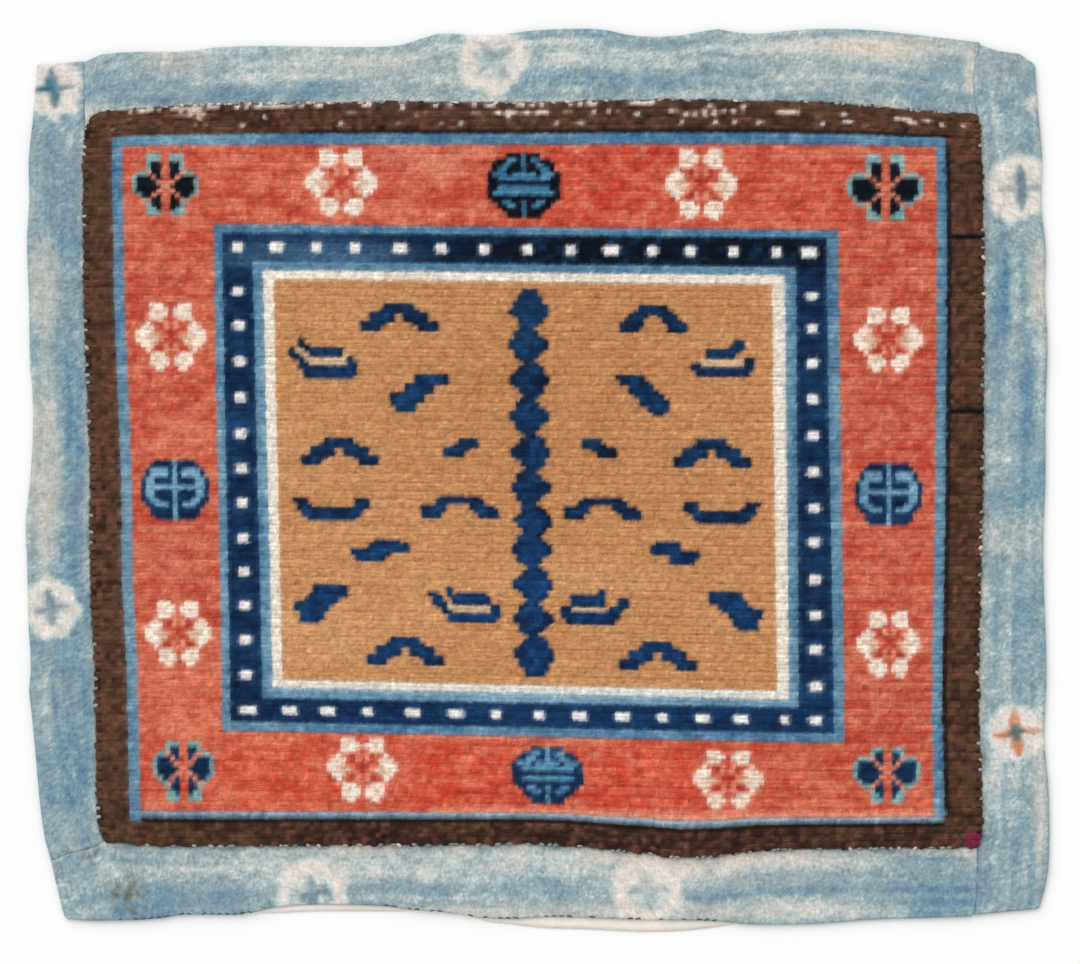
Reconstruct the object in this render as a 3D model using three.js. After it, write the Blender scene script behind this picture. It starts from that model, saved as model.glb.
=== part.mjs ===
// A small knotted-pile seat rug, sewn into a surround of tie-dyed woollen cloth
// over a plain cotton back. Millimetres, seen from above: +X is to the right,
// +Y is to the far edge, +Z is up, and the back lies on Z = 0.

import * as THREE from 'three';

// Driving sizes of the rug, of the whole mat and of the sheets

const RUG_WIDTH = 663;
const RUG_HEIGHT = 554;
const ROWS_OF_KNOTS = 84;
const MARGIN = { left: 45, right: 49, top: 51, bottom: 54 };
const RUG_SHIFT = { x: -2.5, y: 3 };

const BACK_THICK = 1;
const CLOTH_THICK = 2;
const FOUNDATION_THICK = 2;
const PILE_HEIGHT = 6;
const PILE_OVERHANG = 1.5;
const PILE_SPREAD = 1;
const PILE_ROUNDING = 1.2;
const GAP = 0.3;

// The true rectangles that the uneven edges wander about

const RUG = {
  left: RUG_SHIFT.x - RUG_WIDTH / 2,
  right: RUG_SHIFT.x + RUG_WIDTH / 2,
  top: RUG_SHIFT.y + RUG_HEIGHT / 2,
  bottom: RUG_SHIFT.y - RUG_HEIGHT / 2,
};
const MAT = {
  left: RUG.left - MARGIN.left,
  right: RUG.right + MARGIN.right,
  top: RUG.top + MARGIN.top,
  bottom: RUG.bottom - MARGIN.bottom,
};

// How far each edge stands out beyond its true line, at stations along it.
// Along is X on a top or bottom edge and Y on a side.

const RUG_EDGES = {
  top: [
    { along: -337, out: -22 }, { along: -333.5, out: -12 }, { along: -330, out: -7.5 },
    { along: -314, out: -6 }, { along: -273, out: -2.2 }, { along: -221, out: -0.7 },
    { along: -118, out: 0.7 }, { along: 0, out: 0.7 }, { along: 76, out: 2.2 },
    { along: 175, out: 1.5 }, { along: 240, out: -1.5 }, { along: 270, out: -4.5 },
    { along: 327.5, out: -9 },
  ],
  right: [
    { along: 270, out: -1.5 }, { along: 245, out: 0.7 }, { along: 178, out: 2.2 },
    { along: 0, out: 1.5 }, { along: -79, out: 0 }, { along: -156, out: -1.5 },
    { along: -233, out: 0.7 }, { along: -266, out: 0.7 }, { along: -272.5, out: -1.5 },
  ],
  bottom: [
    { along: 327.5, out: -0.5 }, { along: 237, out: 0.7 }, { along: 165, out: 2.2 },
    { along: 133, out: 6 }, { along: 107, out: 7.5 }, { along: 83, out: 4.5 },
    { along: 46, out: 0.7 }, { along: 16, out: -2.2 }, { along: -91, out: -2.2 },
    { along: -300, out: -2.2 }, { along: -323, out: -5 },
  ],
  left: [
    { along: -268, out: -11 }, { along: -257, out: -7.2 }, { along: -207, out: -5.7 },
    { along: -130, out: -4.2 }, { along: -79, out: -1.3 }, { along: 0, out: -1.2 },
    { along: 50, out: 0.2 }, { along: 126, out: 3.2 }, { along: 203, out: 3.9 },
    { along: 245, out: 3.9 }, { along: 258, out: 3 },
  ],
};

const LEFT_STRIP_EDGES = {
  left: [
    { along: -283, out: -16 }, { along: -271, out: -12.4 }, { along: -248, out: -8.7 },
    { along: -200, out: -4.2 }, { along: -170, out: -1.3 }, { along: -152, out: 0.4 },
    { along: -140, out: -1.3 }, { along: -108, out: 0.6 }, { along: -57, out: 1.7 },
    { along: -33, out: 2.8 }, { along: -9, out: 0.2 }, { along: 18, out: -2 },
    { along: 59, out: -2.8 }, { along: 86, out: -0.5 }, { along: 126, out: 0 },
    { along: 181, out: 1.7 }, { along: 205, out: 0 }, { along: 241, out: 0.4 },
    { along: 265, out: -2.4 }, { along: 308, out: -5.7 },
  ],
  top: [
    { along: -373, out: -22 }, { along: -356, out: -21 }, { along: -338.5, out: -19.4 },
  ],
};

const TOP_STRIP_EDGES = {
  top: [
    { along: -338, out: -20 }, { along: -331, out: -17 }, { along: -325, out: -14.3 },
    { along: -296, out: -12.4 }, { along: -259, out: -12 }, { along: -246, out: -9.7 },
    { along: -213, out: -8 }, { along: -106, out: -8 }, { along: -91, out: -4.3 },
    { along: -82, out: 0 }, { along: -64, out: 1.3 }, { along: -40, out: -0.6 },
    { along: 1, out: 3.9 }, { along: 49, out: 4.2 }, { along: 72, out: -0.6 },
    { along: 109, out: 0 }, { along: 133, out: 4.6 }, { along: 156, out: 0.9 },
    { along: 204, out: 4.6 }, { along: 246, out: 3.9 }, { along: 276, out: 0.9 },
    { along: 329, out: -5.4 },
  ],
};

const RIGHT_STRIP_EDGES = {
  top: [
    { along: 331, out: -8 }, { along: 347, out: -12.5 }, { along: 362, out: -14.8 },
    { along: 370, out: -22 },
  ],
  right: [
    { along: 307, out: -7.8 }, { along: 275, out: -5.5 }, { along: 241, out: -2.5 },
    { along: 205, out: -3.3 }, { along: 169, out: 0.4 }, { along: 141, out: -0.7 },
    { along: 104, out: 1.6 }, { along: 50, out: 0 }, { along: 0, out: 0 },
    { along: -49, out: -1.8 }, { along: -146, out: 0.8 }, { along: -194, out: -1 },
    { along: -231, out: 2.4 }, { along: -295, out: 1.6 }, { along: -319, out: -4.6 },
  ],
  bottom: [
    { along: 371, out: -8 }, { along: 347, out: -5.8 }, { along: 325.4, out: -3.6 },
  ],
};

const BOTTOM_STRIP_EDGES = {
  bottom: [
    { along: 323, out: -2.5 }, { along: 286, out: -1.3 }, { along: 244, out: 0.1 },
    { along: 206, out: 3.1 }, { along: 150, out: 3.1 }, { along: 132, out: 0.9 },
    { along: 80, out: 0.1 }, { along: 5, out: -2.1 }, { along: -16, out: -0.6 },
    { along: -42, out: -1.3 }, { along: -66, out: -5.1 }, { along: -97, out: -7.6 },
    { along: -116, out: -10.3 }, { along: -177, out: -11 }, { along: -204, out: -8 },
    { along: -216, out: -4.3 }, { along: -267, out: -3.6 }, { along: -285, out: -0.6 },
    { along: -341, out: 0.5 }, { along: -351, out: -0.5 },
  ],
  left: [
    { along: -325, out: -26 }, { along: -318, out: -24 }, { along: -307, out: -21.4 },
    { along: -286, out: -16.7 },
  ],
};

// The cotton back is cut a little smaller, and has slipped out along the bottom

const BACK_INSET = 6;
const BACK_CORNERS = { x: 362, y: 300 };
const BACK_BOTTOM_EDGE = [
  { along: 368, out: -16 }, { along: 300, out: -7 }, { along: 200, out: -1.5 },
  { along: 160, out: -0.5 }, { along: 145, out: 3.8 }, { along: 133, out: 5.4 },
  { along: 108, out: 8.3 }, { along: 78, out: 9 }, { along: 37, out: 7.2 },
  { along: 2, out: 6 }, { along: -22, out: 3.2 }, { along: -40, out: 1.3 },
  { along: -56, out: -4 }, { along: -84, out: -6.5 }, { along: -104, out: -6 },
  { along: -130, out: -6.3 }, { along: -177, out: -6 }, { along: -204, out: -4.6 },
  { along: -222, out: -7.5 }, { along: -300, out: -6 }, { along: -342, out: -8 },
];

// The seams where the end of one strip meets the side of another, as points

const TOP_LEFT_SEAM = [{ x: -338.5, y: 311.5 }, { x: -338.2, y: 285 }, { x: -337.6, y: 258.5 }];
const BOTTOM_LEFT_SEAM = [
  { x: -363, y: -284 }, { x: -350, y: -279 }, { x: -331, y: -274 }, { x: -323.6, y: -270 },
];
const TOP_RIGHT_SEAM = [
  { x: 330, y: 323.5 }, { x: 326, y: 309 }, { x: 325.5, y: 287 }, { x: 327.8, y: 271.5 },
];
const BOTTOM_RIGHT_SEAM = [{ x: 327.8, y: -274.3 }, { x: 327, y: -311 }, { x: 324.8, y: -324.2 }];

// Steps taken along an edge, and how ragged the ends of the knot rows are

const EDGE_STEP = 14;
const SEAM_STEPS = 6;
const CLOSEST_POINTS = 0.8;
const STEPS_PER_ROW = 2;
const KNOT_GROUPS = 94;
const TOOTH_DEPTH = 1.1;
const GROOVE_TOOTH_SHARE = 0.4;
const SCATTER = { step: 12.9898, spread: 43758.5453 };

const materials = {
  pile: new THREE.MeshStandardMaterial({ color: 0xb8593a, roughness: 0.95, metalness: 0 }),
  tieDyedCloth: new THREE.MeshStandardMaterial({ color: 0x5f7fa0, roughness: 0.95, metalness: 0 }),
  cottonBack: new THREE.MeshStandardMaterial({ color: 0xe0cbbb, roughness: 0.95, metalness: 0 }),
};

// Lines

function edgePoints(side, stations, frame) {
  const level = frame[side];
  const sign = side === 'top' || side === 'right' ? 1 : -1;
  const upright = side === 'left' || side === 'right';
  return stations.map(({ along, out }) => {
    const across = level + sign * out;
    return upright ? new THREE.Vector3(across, along, 0) : new THREE.Vector3(along, across, 0);
  });
}

function smoothLine(points, steps) {
  const curve = new THREE.CatmullRomCurve3(points, false, 'centripetal');
  const count = steps ?? Math.max(2, Math.round(curve.getLength() / EDGE_STEP));
  return curve.getSpacedPoints(count);
}

function seamLine(points) {
  return smoothLine(points.map(({ x, y }) => new THREE.Vector3(x, y, 0)), SEAM_STEPS);
}

function joined(lines) {
  const outline = [];
  for (const line of lines) {
    for (const point of line) {
      const last = outline[outline.length - 1];
      if (!last || last.distanceTo(point) > CLOSEST_POINTS) {
        outline.push(point);
      }
    }
  }
  if (outline[0].distanceTo(outline[outline.length - 1]) <= CLOSEST_POINTS) {
    outline.pop();
  }
  return outline;
}

function outwards(outline, index) {
  const before = outline[(index + outline.length - 1) % outline.length];
  const after = outline[(index + 1) % outline.length];
  return new THREE.Vector3(before.y - after.y, after.x - before.x, 0).normalize();
}

function grown(outline, distance) {
  return outline.map((point, index) => {
    const far = typeof distance === 'function' ? distance(index) : distance;
    return point.clone().addScaledVector(outwards(outline, index), far);
  });
}

function tooth(index) {
  const wave = Math.sin(index * SCATTER.step) * SCATTER.spread;
  return wave - Math.floor(wave);
}

// Solids: rings of one outline at rising levels, closed below and above.
// An outline runs clockwise as seen from above. A piece that can be seen whole
// from its middle is closed by fans about the middle, and a bent strip is not.

function stackedRings(rings, closedBy) {
  const count = rings[0].outline.length;
  const positions = rings.flatMap(({ outline, z }) => outline.flatMap((point) => [point.x, point.y, z]));
  const faces = [];
  for (let ring = 0; ring + 1 < rings.length; ring++) {
    for (let i = 0; i < count; i++) {
      const a = ring * count + i;
      const b = ring * count + ((i + 1) % count);
      faces.push(a, b + count, b, a, a + count, b + count);
    }
  }
  const topStart = (rings.length - 1) * count;
  if (closedBy === 'fans') {
    const under = positions.length / 3;
    positions.push(0, 0, rings[0].z, 0, 0, rings[rings.length - 1].z);
    for (let i = 0; i < count; i++) {
      const next = (i + 1) % count;
      faces.push(i, next, under, topStart + next, topStart + i, under + 1);
    }
  } else {
    const bottom = rings[0].outline;
    const top = rings[rings.length - 1].outline;
    for (const face of THREE.ShapeUtils.triangulateShape(bottom, [])) {
      faces.push(...upward(face, bottom).reverse());
    }
    for (const face of THREE.ShapeUtils.triangulateShape(top, [])) {
      faces.push(...upward(face, top).map((corner) => corner + topStart));
    }
  }
  const geometry = new THREE.BufferGeometry();
  geometry.setAttribute('position', new THREE.Float32BufferAttribute(positions, 3));
  geometry.setIndex(faces);
  geometry.computeVertexNormals();
  return geometry;
}

function upward([a, b, c], outline) {
  const [p, q, r] = [outline[a], outline[b], outline[c]];
  const turn = (q.x - p.x) * (r.y - p.y) - (q.y - p.y) * (r.x - p.x);
  return turn > 0 ? [a, b, c] : [a, c, b];
}

function sheet(outline, thickness, closedBy) {
  return stackedRings([{ outline, z: 0 }, { outline, z: thickness }], closedBy);
}

function piece(name, geometry, material, z) {
  const mesh = new THREE.Mesh(geometry, material);
  mesh.name = name;
  mesh.position.z = z;
  return mesh;
}

// The rug: its foundation meets the surround, and its pile spreads over the seam
// with the end of every knot row a little ragged

function rugLine(side) {
  const upright = side === 'left' || side === 'right';
  const steps = upright ? ROWS_OF_KNOTS * STEPS_PER_ROW : KNOT_GROUPS;
  return smoothLine(edgePoints(side, RUG_EDGES[side], RUG), steps);
}

function rugPanel() {
  const foundation = joined(['top', 'right', 'bottom', 'left'].map(rugLine));
  const depth = (index) => TOOTH_DEPTH * (index % STEPS_PER_ROW ? 1 : GROOVE_TOOTH_SHARE);
  const ragged = (reach) => (index) => reach - depth(index) * tooth(index);
  const clearOfCloth = CLOTH_THICK + GAP;
  const top = FOUNDATION_THICK + PILE_HEIGHT;
  const pile = grown(foundation, ragged(PILE_OVERHANG));
  const crown = grown(foundation, ragged(0));
  const geometry = stackedRings([
    { outline: foundation, z: 0 },
    { outline: foundation, z: clearOfCloth },
    { outline: pile, z: clearOfCloth + PILE_SPREAD },
    { outline: pile, z: top - PILE_ROUNDING },
    { outline: crown, z: top },
  ], 'fans');
  return piece('pile_rug', geometry, materials.pile, BACK_THICK + GAP);
}

// The surround: four strips that meet the rug and one another edge to edge

function clearOfRug(line) {
  return line.map((point, index) => {
    const before = line[Math.max(0, index - 1)];
    const after = line[Math.min(line.length - 1, index + 1)];
    const away = new THREE.Vector3(before.y - after.y, after.x - before.x, 0).normalize();
    return point.clone().addScaledVector(away, GAP);
  });
}

function shifted(line, dx, dy) {
  return line.map((point) => new THREE.Vector3(point.x + dx, point.y + dy, 0));
}

function strip(name, lines) {
  return piece(name, sheet(joined(lines), CLOTH_THICK), materials.tieDyedCloth, BACK_THICK + GAP);
}

function leftStrip() {
  const outer = smoothLine(edgePoints('left', LEFT_STRIP_EDGES.left, MAT));
  const end = smoothLine(edgePoints('top', LEFT_STRIP_EDGES.top, MAT));
  const inner = clearOfRug(rugLine('left')).reverse();
  const highSeam = seamLine(TOP_LEFT_SEAM);
  const lowSeam = seamLine(BOTTOM_LEFT_SEAM).reverse();
  return strip('surround_left', [outer, end, highSeam, inner, lowSeam]);
}

function topStrip() {
  const outer = smoothLine(edgePoints('top', TOP_STRIP_EDGES.top, MAT));
  const rightSeam = shifted(seamLine(TOP_RIGHT_SEAM), -GAP, 0);
  const inner = clearOfRug(rugLine('top')).reverse();
  const leftSeam = shifted(seamLine(TOP_LEFT_SEAM), GAP, 0).reverse();
  return strip('surround_top', [outer, rightSeam, inner, leftSeam]);
}

function rightStrip() {
  const end = smoothLine(edgePoints('top', RIGHT_STRIP_EDGES.top, MAT));
  const outer = smoothLine(edgePoints('right', RIGHT_STRIP_EDGES.right, MAT));
  const foot = smoothLine(edgePoints('bottom', RIGHT_STRIP_EDGES.bottom, MAT));
  const lowSeam = seamLine(BOTTOM_RIGHT_SEAM).reverse();
  const inner = clearOfRug(rugLine('right')).reverse();
  const highSeam = seamLine(TOP_RIGHT_SEAM).reverse();
  return strip('surround_right', [end, outer, foot, lowSeam, inner, highSeam]);
}

function bottomStrip() {
  const seam = shifted(seamLine(BOTTOM_LEFT_SEAM), 0, -GAP);
  const inner = clearOfRug(rugLine('bottom')).reverse();
  const lowSeam = shifted(seamLine(BOTTOM_RIGHT_SEAM), -GAP, 0);
  const outer = smoothLine(edgePoints('bottom', BOTTOM_STRIP_EDGES.bottom, MAT));
  const end = smoothLine(edgePoints('left', BOTTOM_STRIP_EDGES.left, MAT));
  return strip('surround_bottom', [seam, inner, lowSeam, outer, end]);
}

// The cotton back, one flat sheet under the rug and its surround

function inset(stations) {
  return stations.map(({ along, out }) => ({ along, out: out - BACK_INSET }));
}

function cottonBack() {
  const topStations = [...LEFT_STRIP_EDGES.top, ...TOP_STRIP_EDGES.top, ...RIGHT_STRIP_EDGES.top];
  const withinTop = inset(topStations.filter(({ along }) => Math.abs(along) < BACK_CORNERS.x));
  const withinRight = inset(RIGHT_STRIP_EDGES.right.filter(({ along }) => Math.abs(along) < BACK_CORNERS.y));
  const withinLeft = inset(LEFT_STRIP_EDGES.left.filter(({ along }) => along < BACK_CORNERS.y));
  const outline = joined([
    smoothLine(edgePoints('top', withinTop, MAT)),
    smoothLine(edgePoints('right', withinRight, MAT)),
    smoothLine(edgePoints('bottom', BACK_BOTTOM_EDGE, MAT)),
    smoothLine(edgePoints('left', withinLeft, MAT)),
  ]);
  return piece('cotton_back', sheet(outline, BACK_THICK, 'fans'), materials.cottonBack, 0);
}

const mat = new THREE.Group();
mat.add(cottonBack());
mat.add(leftStrip());
mat.add(topStrip());
mat.add(rightStrip());
mat.add(bottomStrip());
mat.add(rugPanel());

export default mat;
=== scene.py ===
# %% [markdown]
# # A knotted tiger rug in its tie-dyed surround
#
# The object is a small seat rug from the high plateau. Its pile is knotted row by row in
# hand-spun wool, with tiger stripes on a camel field and nested borders. Strips of faded,
# tie-dyed woollen cloth are sewn round it, and a plain cotton back lies under everything.
# The lesson builds each sheet as a maker would: the chart of knots first, then the pile,
# the cloth, the sewing, and last the light. All tables are in millimetres.

import math

import bpy
import numpy as np
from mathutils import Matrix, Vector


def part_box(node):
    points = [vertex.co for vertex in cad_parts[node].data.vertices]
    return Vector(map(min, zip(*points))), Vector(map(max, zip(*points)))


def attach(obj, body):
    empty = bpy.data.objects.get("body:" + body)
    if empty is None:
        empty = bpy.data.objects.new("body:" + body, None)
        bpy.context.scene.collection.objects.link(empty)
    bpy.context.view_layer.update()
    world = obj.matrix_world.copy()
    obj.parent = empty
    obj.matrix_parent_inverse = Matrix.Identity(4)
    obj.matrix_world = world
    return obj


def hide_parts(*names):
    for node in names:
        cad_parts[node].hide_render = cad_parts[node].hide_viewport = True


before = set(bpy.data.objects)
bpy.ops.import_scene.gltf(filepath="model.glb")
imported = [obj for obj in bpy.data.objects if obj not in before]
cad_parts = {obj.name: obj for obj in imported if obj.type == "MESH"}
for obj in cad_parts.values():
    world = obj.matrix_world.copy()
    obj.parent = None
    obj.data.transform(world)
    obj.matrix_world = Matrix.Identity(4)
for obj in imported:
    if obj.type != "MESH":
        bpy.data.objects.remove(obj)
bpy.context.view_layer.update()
MM = 0.001
print("nodes", sorted(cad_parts))

# %% [markdown]
# ## Short tables
#
# The mat is worked out from short tables, such as where some rows of knots lie or which
# repeat is woven where. They are easier to check against the real thing than long code. This
# helper takes the names of the columns once and hands back every row under those names.

# %% A helper for tables
def table(columns, *rows):
    """Rows of values as dictionaries, under the names of the columns."""
    names = columns.split()
    return [dict(zip(names, row)) for row in rows]


print(table("row left right", (0, 282, 282)))

# %% [markdown]
# ## Colours
#
# Dyed wool is easiest to judge by eye as screen colours, so the tables name colours that
# way. Blender's shaders add light up, so they need linear values, and one helper turns the
# first kind into the second. The Standard view shows a colour as it was named, which suits
# an evenly lit picture of a textile better than a film-like curve does.

# %% Colour helpers
bpy.context.scene.view_settings.view_transform = "Standard"
LUMA = np.array([0.2126, 0.7152, 0.0722])


def linear(screen_colour):
    """A colour written as #rrggbb, as three linear values."""
    levels = np.array([int(screen_colour[i : i + 2], 16) / 255 for i in (1, 3, 5)])
    return np.where(levels <= 0.04045, levels / 12.92, ((levels + 0.055) / 1.055) ** 2.4)


def mixed(first, second, share):
    """Goes from the first colour to the second by share, which may be an array."""
    share = np.clip(share, 0, 1)[..., None]
    return first * (1 - share) + second * share


print("ivory as linear values", linear("#f0e3d2").round(2))

# %% [markdown]
# ## Uneven hand work
#
# Hand-spun yarn, vat dyes and years of use leave soft patches everywhere. Blender's noise
# textures could give them inside a material, but the chart of knots needs them too, so this
# helper makes the same kind of smooth lumps as an array. Each call has its own seed, and
# the result is the same on every run.

# %% Smooth random lumps
LATTICE = 192


def eased(x):
    return x * x * (3 - 2 * x)


def cloud(x, y, wide, high, seed):
    """Smooth lumps from -1 to 1, about wide by high mm."""
    lattice = np.random.default_rng(seed).uniform(-1, 1, (LATTICE, LATTICE))
    u, v = x / wide, y / high
    i, j = np.floor(u).astype(int), np.floor(v).astype(int)
    su, sv = eased(u - i), eased(v - j)
    near, far = i % LATTICE, (i + 1) % LATTICE
    below, above = j % LATTICE, (j + 1) % LATTICE
    first = lattice[below, near] * (1 - su) + lattice[below, far] * su
    second = lattice[above, near] * (1 - su) + lattice[above, far] * su
    return first * (1 - sv) + second * sv


def clouds(x, y, layers, seed=0):
    """Layers of such lumps, each by its share in the table."""
    return sum(layer["share"] * cloud(x, y, layer["wide"], layer["high"], seed + layer["seed"])
               for layer in layers)


print("a few lumps", cloud(np.arange(4.0), np.zeros(4), 2, 2, 1).round(2))

# %% [markdown]
# ## Outlines taken from the frame
#
# The finished sheets have to fit the solids that they stand for. Their outlines aren't
# written down again here: a solid's side walls share their lowest edges with its underside,
# so following those edges round gives the outline. Four corners, the points furthest out
# along the diagonals, part it into a top, right, bottom and left side.

# %% Read an outline and its four sides
DIAGONALS = ((-1, 1), (1, 1), (1, -1), (-1, -1))


def outline_of(node):
    """The outline of a CAD sheet in mm, clockwise as seen from above."""
    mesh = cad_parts[node].data
    points = np.array([v.co for v in mesh.vertices]) / MM
    lowest = points[:, 2].min()
    follows = {}
    for face in mesh.polygons:
        if abs(face.normal.z) > 0.5:
            continue
        corners = [tuple(points[i].round(3)) for i in face.vertices]
        for a, b in zip(corners, corners[1:] + corners[:1]):
            if max(a[2], b[2]) < lowest + 0.01:
                follows[b[:2]] = a[:2]
    start = next(iter(follows))
    line = [start]
    while follows[line[-1]] != start:
        line.append(follows[line[-1]])
    return np.array(line)


def grown(outline, reach):
    """The outline moved outwards by reach."""
    heading = np.roll(outline, -1, axis=0) - np.roll(outline, 1, axis=0)
    heading /= np.hypot(*heading.T)[:, None]
    return outline + reach * np.column_stack([-heading[:, 1], heading[:, 0]])


def four_sides(outline):
    """The top, right, bottom and left side, each running clockwise."""
    starts = [int(np.argmax(outline @ np.array(d))) for d in DIAGONALS]
    sides = []
    for a, b in zip(starts, starts[1:] + starts[:1]):
        last = b if b > a else b + len(outline)
        sides.append(outline[np.arange(a, last + 1) % len(outline)])
    return sides


def polygon_area(outline):
    x, y = outline.T
    return abs(np.dot(x, np.roll(y, 1)) - np.dot(y, np.roll(x, 1))) / 2


RUG_OUTLINE = outline_of("pile_rug")
RUG_TOP, RUG_RIGHT, RUG_BOTTOM, RUG_LEFT = four_sides(RUG_OUTLINE)
print("rug outline", len(RUG_OUTLINE), "points", round(polygon_area(RUG_OUTLINE) / 1e6, 3), "m2")

# %% [markdown]
# ## The weaver's ladder
#
# A weaver counts in rows and knots, and no two rows are beaten down alike. Two short tables
# say where some of the rows and columns lie on the finished rug, at its left and right
# and at its top and foot. All others are spaced evenly between these, and the leaning of
# the whole rug comes with them.

# %% Rows and columns of knots
ROWS, COLUMNS = 84, 188
ROW_LADDER = table(
    "row left right",
    (0, 282, 282), (4, 258.5, 258.5), (5, 249.5, 249.5), (14, 189.5, 186.5), (15, 183, 180.5),
    (18, 162, 159), (19, 155.5, 153), (20, 148.5, 145.5), (23, 131, 129), (31, 78, 77),
    (38, 30.5, 29.5), (45, -14.5, -17.5), (50, -47.5, -49.5), (55, -79, -84), (61, -117, -122),
    (66, -150, -156), (67, -156.5, -163), (68, -164, -169), (71, -181.5, -187),
    (72, -188.8, -194.5), (80, -247, -250.5), (81, -255, -258), (84, -271.5, -274),
)
COLUMN_LADDER = table(
    "column top foot",
    (0, -338, -328), (6, -317, -304.3), (8, -309, -295.8), (27, -242, -234), (29, -235.8, -227.8),
    (35, -213.5, -203.5), (37, -206, -195.5), (40, -198, -188.5), (144, 173.5, 179),
    (147, 183.5, 187.5), (149, 192, 194.5), (155, 214, 221.5), (157, 223.5, 229), (178, 298, 295),
    (180, 305.5, 303.5), (188, 332.5, 331),
)
LADDER_LEFT, LADDER_RIGHT, LADDER_REACH = -145, 125, 200
LADDER_TOP, LADDER_FOOT = 208, -239


def between(ladder, key, first, second, place, share):
    """Reads two columns of a ladder at a place and mixes them by share."""
    stations = [rung[key] for rung in ladder]
    a = np.interp(place, stations, [rung[first] for rung in ladder])
    b = np.interp(place, stations, [rung[second] for rung in ladder])
    return a + (b - a) * share


def ladder_place(column, row):
    """Where a point of the knot grid lies in mm, before the edges are fitted."""
    x = between(COLUMN_LADDER, "column", "top", "foot", column, 0.5)
    for _ in range(2):
        reach = np.clip(x, -LADDER_REACH, LADDER_REACH)
        y = between(ROW_LADDER, "row", "left", "right", row,
                    (reach - LADDER_LEFT) / (LADDER_RIGHT - LADDER_LEFT))
        x = between(COLUMN_LADDER, "column", "top", "foot", column,
                    (LADDER_TOP - y) / (LADDER_TOP - LADDER_FOOT))
    return x, y


middle_of_field = ladder_place(np.array(92.0), np.array(43.0))
print("middle of the field", [round(float(v), 1) for v in middle_of_field])

# %% [markdown]
# ## Fitting the ladder to the edges
#
# The outer edges wander, and the rows near them follow. Each edge of the ladder is moved
# onto the outline of the solid, and the move fades away within a few rows, so that the
# field lies true. That is how a real rug pulls: sewing stretches the edge, not the middle.

# %% Place any point of the knot grid
FADE_ROWS = {"top": 7, "bottom": 8}
FADE_KNOTS = {"left": 24, "right": 24}


def fade(steps, width):
    """1 at an edge, falling softly to 0 where the border ends."""
    return eased(np.clip(1 - steps / width, 0, 1))


def along(line, axis, place):
    """Follows a side of the outline: its other coordinate where axis has this place."""
    order = np.argsort(line[:, axis])
    return np.interp(place, line[order, axis], line[order, 1 - axis])


def knot_place(column, row):
    """Where a point of the knot grid lies in mm on the finished rug."""
    column, row = np.broadcast_arrays(np.asarray(column, float), np.asarray(row, float))
    x, y = ladder_place(column, row)
    first_x, first_y = x, y
    left_x, _ = ladder_place(np.zeros_like(column), row)
    right_x, _ = ladder_place(np.full_like(column, COLUMNS), row)
    _, top_y = ladder_place(column, np.zeros_like(row))
    _, bottom_y = ladder_place(column, np.full_like(row, ROWS))
    for _ in range(3):
        y = (first_y
             + fade(row, FADE_ROWS["top"]) * (along(RUG_TOP, 0, x) - top_y)
             + fade(ROWS - row, FADE_ROWS["bottom"]) * (along(RUG_BOTTOM, 0, x) - bottom_y))
        x = (first_x
             + fade(column, FADE_KNOTS["left"]) * (along(RUG_LEFT, 1, y) - left_x)
             + fade(COLUMNS - column, FADE_KNOTS["right"]) * (along(RUG_RIGHT, 1, y) - right_x))
    return x, y


corner = knot_place(0, 0)
print("top left corner", round(float(corner[0]), 1), round(float(corner[1]), 1))

# %% [markdown]
# ## The chart: nested borders
#
# The chart is an array with the name of a yarn for every knot. The borders are frames laid
# inside one another, so each is painted as a full rectangle over the one before it. The
# counts differ from side to side, because the weaver ended some bands sooner than others.

# %% Paint the frames
BORDERS = table(
    "yarn top right bottom left",
    ("brown", 4, 8, 3, 6), ("blue", 1, 2, 1, 2), ("red", 9, 21, 8, 19), ("blue", 1, 2, 1, 2),
    ("navy", 3, 6, 3, 6), ("light blue", 1, 2, 1, 2), ("ivory", 1, 3, 1, 3), ("camel", 0, 0, 0, 0),
)
chart = np.full((ROWS, COLUMNS), "brown", dtype="<U14")
top, right, bottom, left = 0, 0, 0, 0
for border in BORDERS:
    chart[top : ROWS - bottom, left : COLUMNS - right] = border["yarn"]
    top, right = top + border["top"], right + border["right"]
    bottom, left = bottom + border["bottom"], left + border["left"]
print("knots of camel", int((chart == "camel").sum()), "of", chart.size)

# %% [markdown]
# ## The chart: pearls
#
# A line of ivory pearls runs round the navy band. Along the top and foot they are about
# nine knots apart, set by eye, so each has its own place. At the sides they come with every
# fourth row, which shows how the weaver counted.

# %% Set the pearls
PEARL_ROWS = {"top": 16, "bottom": 69}
PEARL_REACH = 1.0
PEARLS_TOP = (32, 40.5, 49, 57, 66.5, 75, 84, 93, 102, 110.5, 119, 127, 136, 145, 151.5)
PEARLS_BOTTOM = (
    32.5, 41.5, 49.5, 58, 67.5, 76.5, 85, 94, 102.5, 111.5, 120, 128.5, 136.5, 146, 152,
)
PEARLS_SIDE = (21, 25, 29, 33, 37, 41, 45, 49, 53, 57, 61, 65)
PEARLS_LEFT, PEARLS_RIGHT = 32, 152


def set_pearl(middle, row):
    knots = np.arange(COLUMNS) + 0.5
    chart[row, np.abs(knots - middle) <= PEARL_REACH] = "pearl"


for middle in PEARLS_TOP:
    set_pearl(middle, PEARL_ROWS["top"])
for middle in PEARLS_BOTTOM:
    set_pearl(middle, PEARL_ROWS["bottom"])
for row in PEARLS_SIDE:
    set_pearl(PEARLS_LEFT, row)
    set_pearl(PEARLS_RIGHT, row)
print("pearls", len(PEARLS_TOP) + len(PEARLS_BOTTOM) + 2 * len(PEARLS_SIDE))

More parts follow.
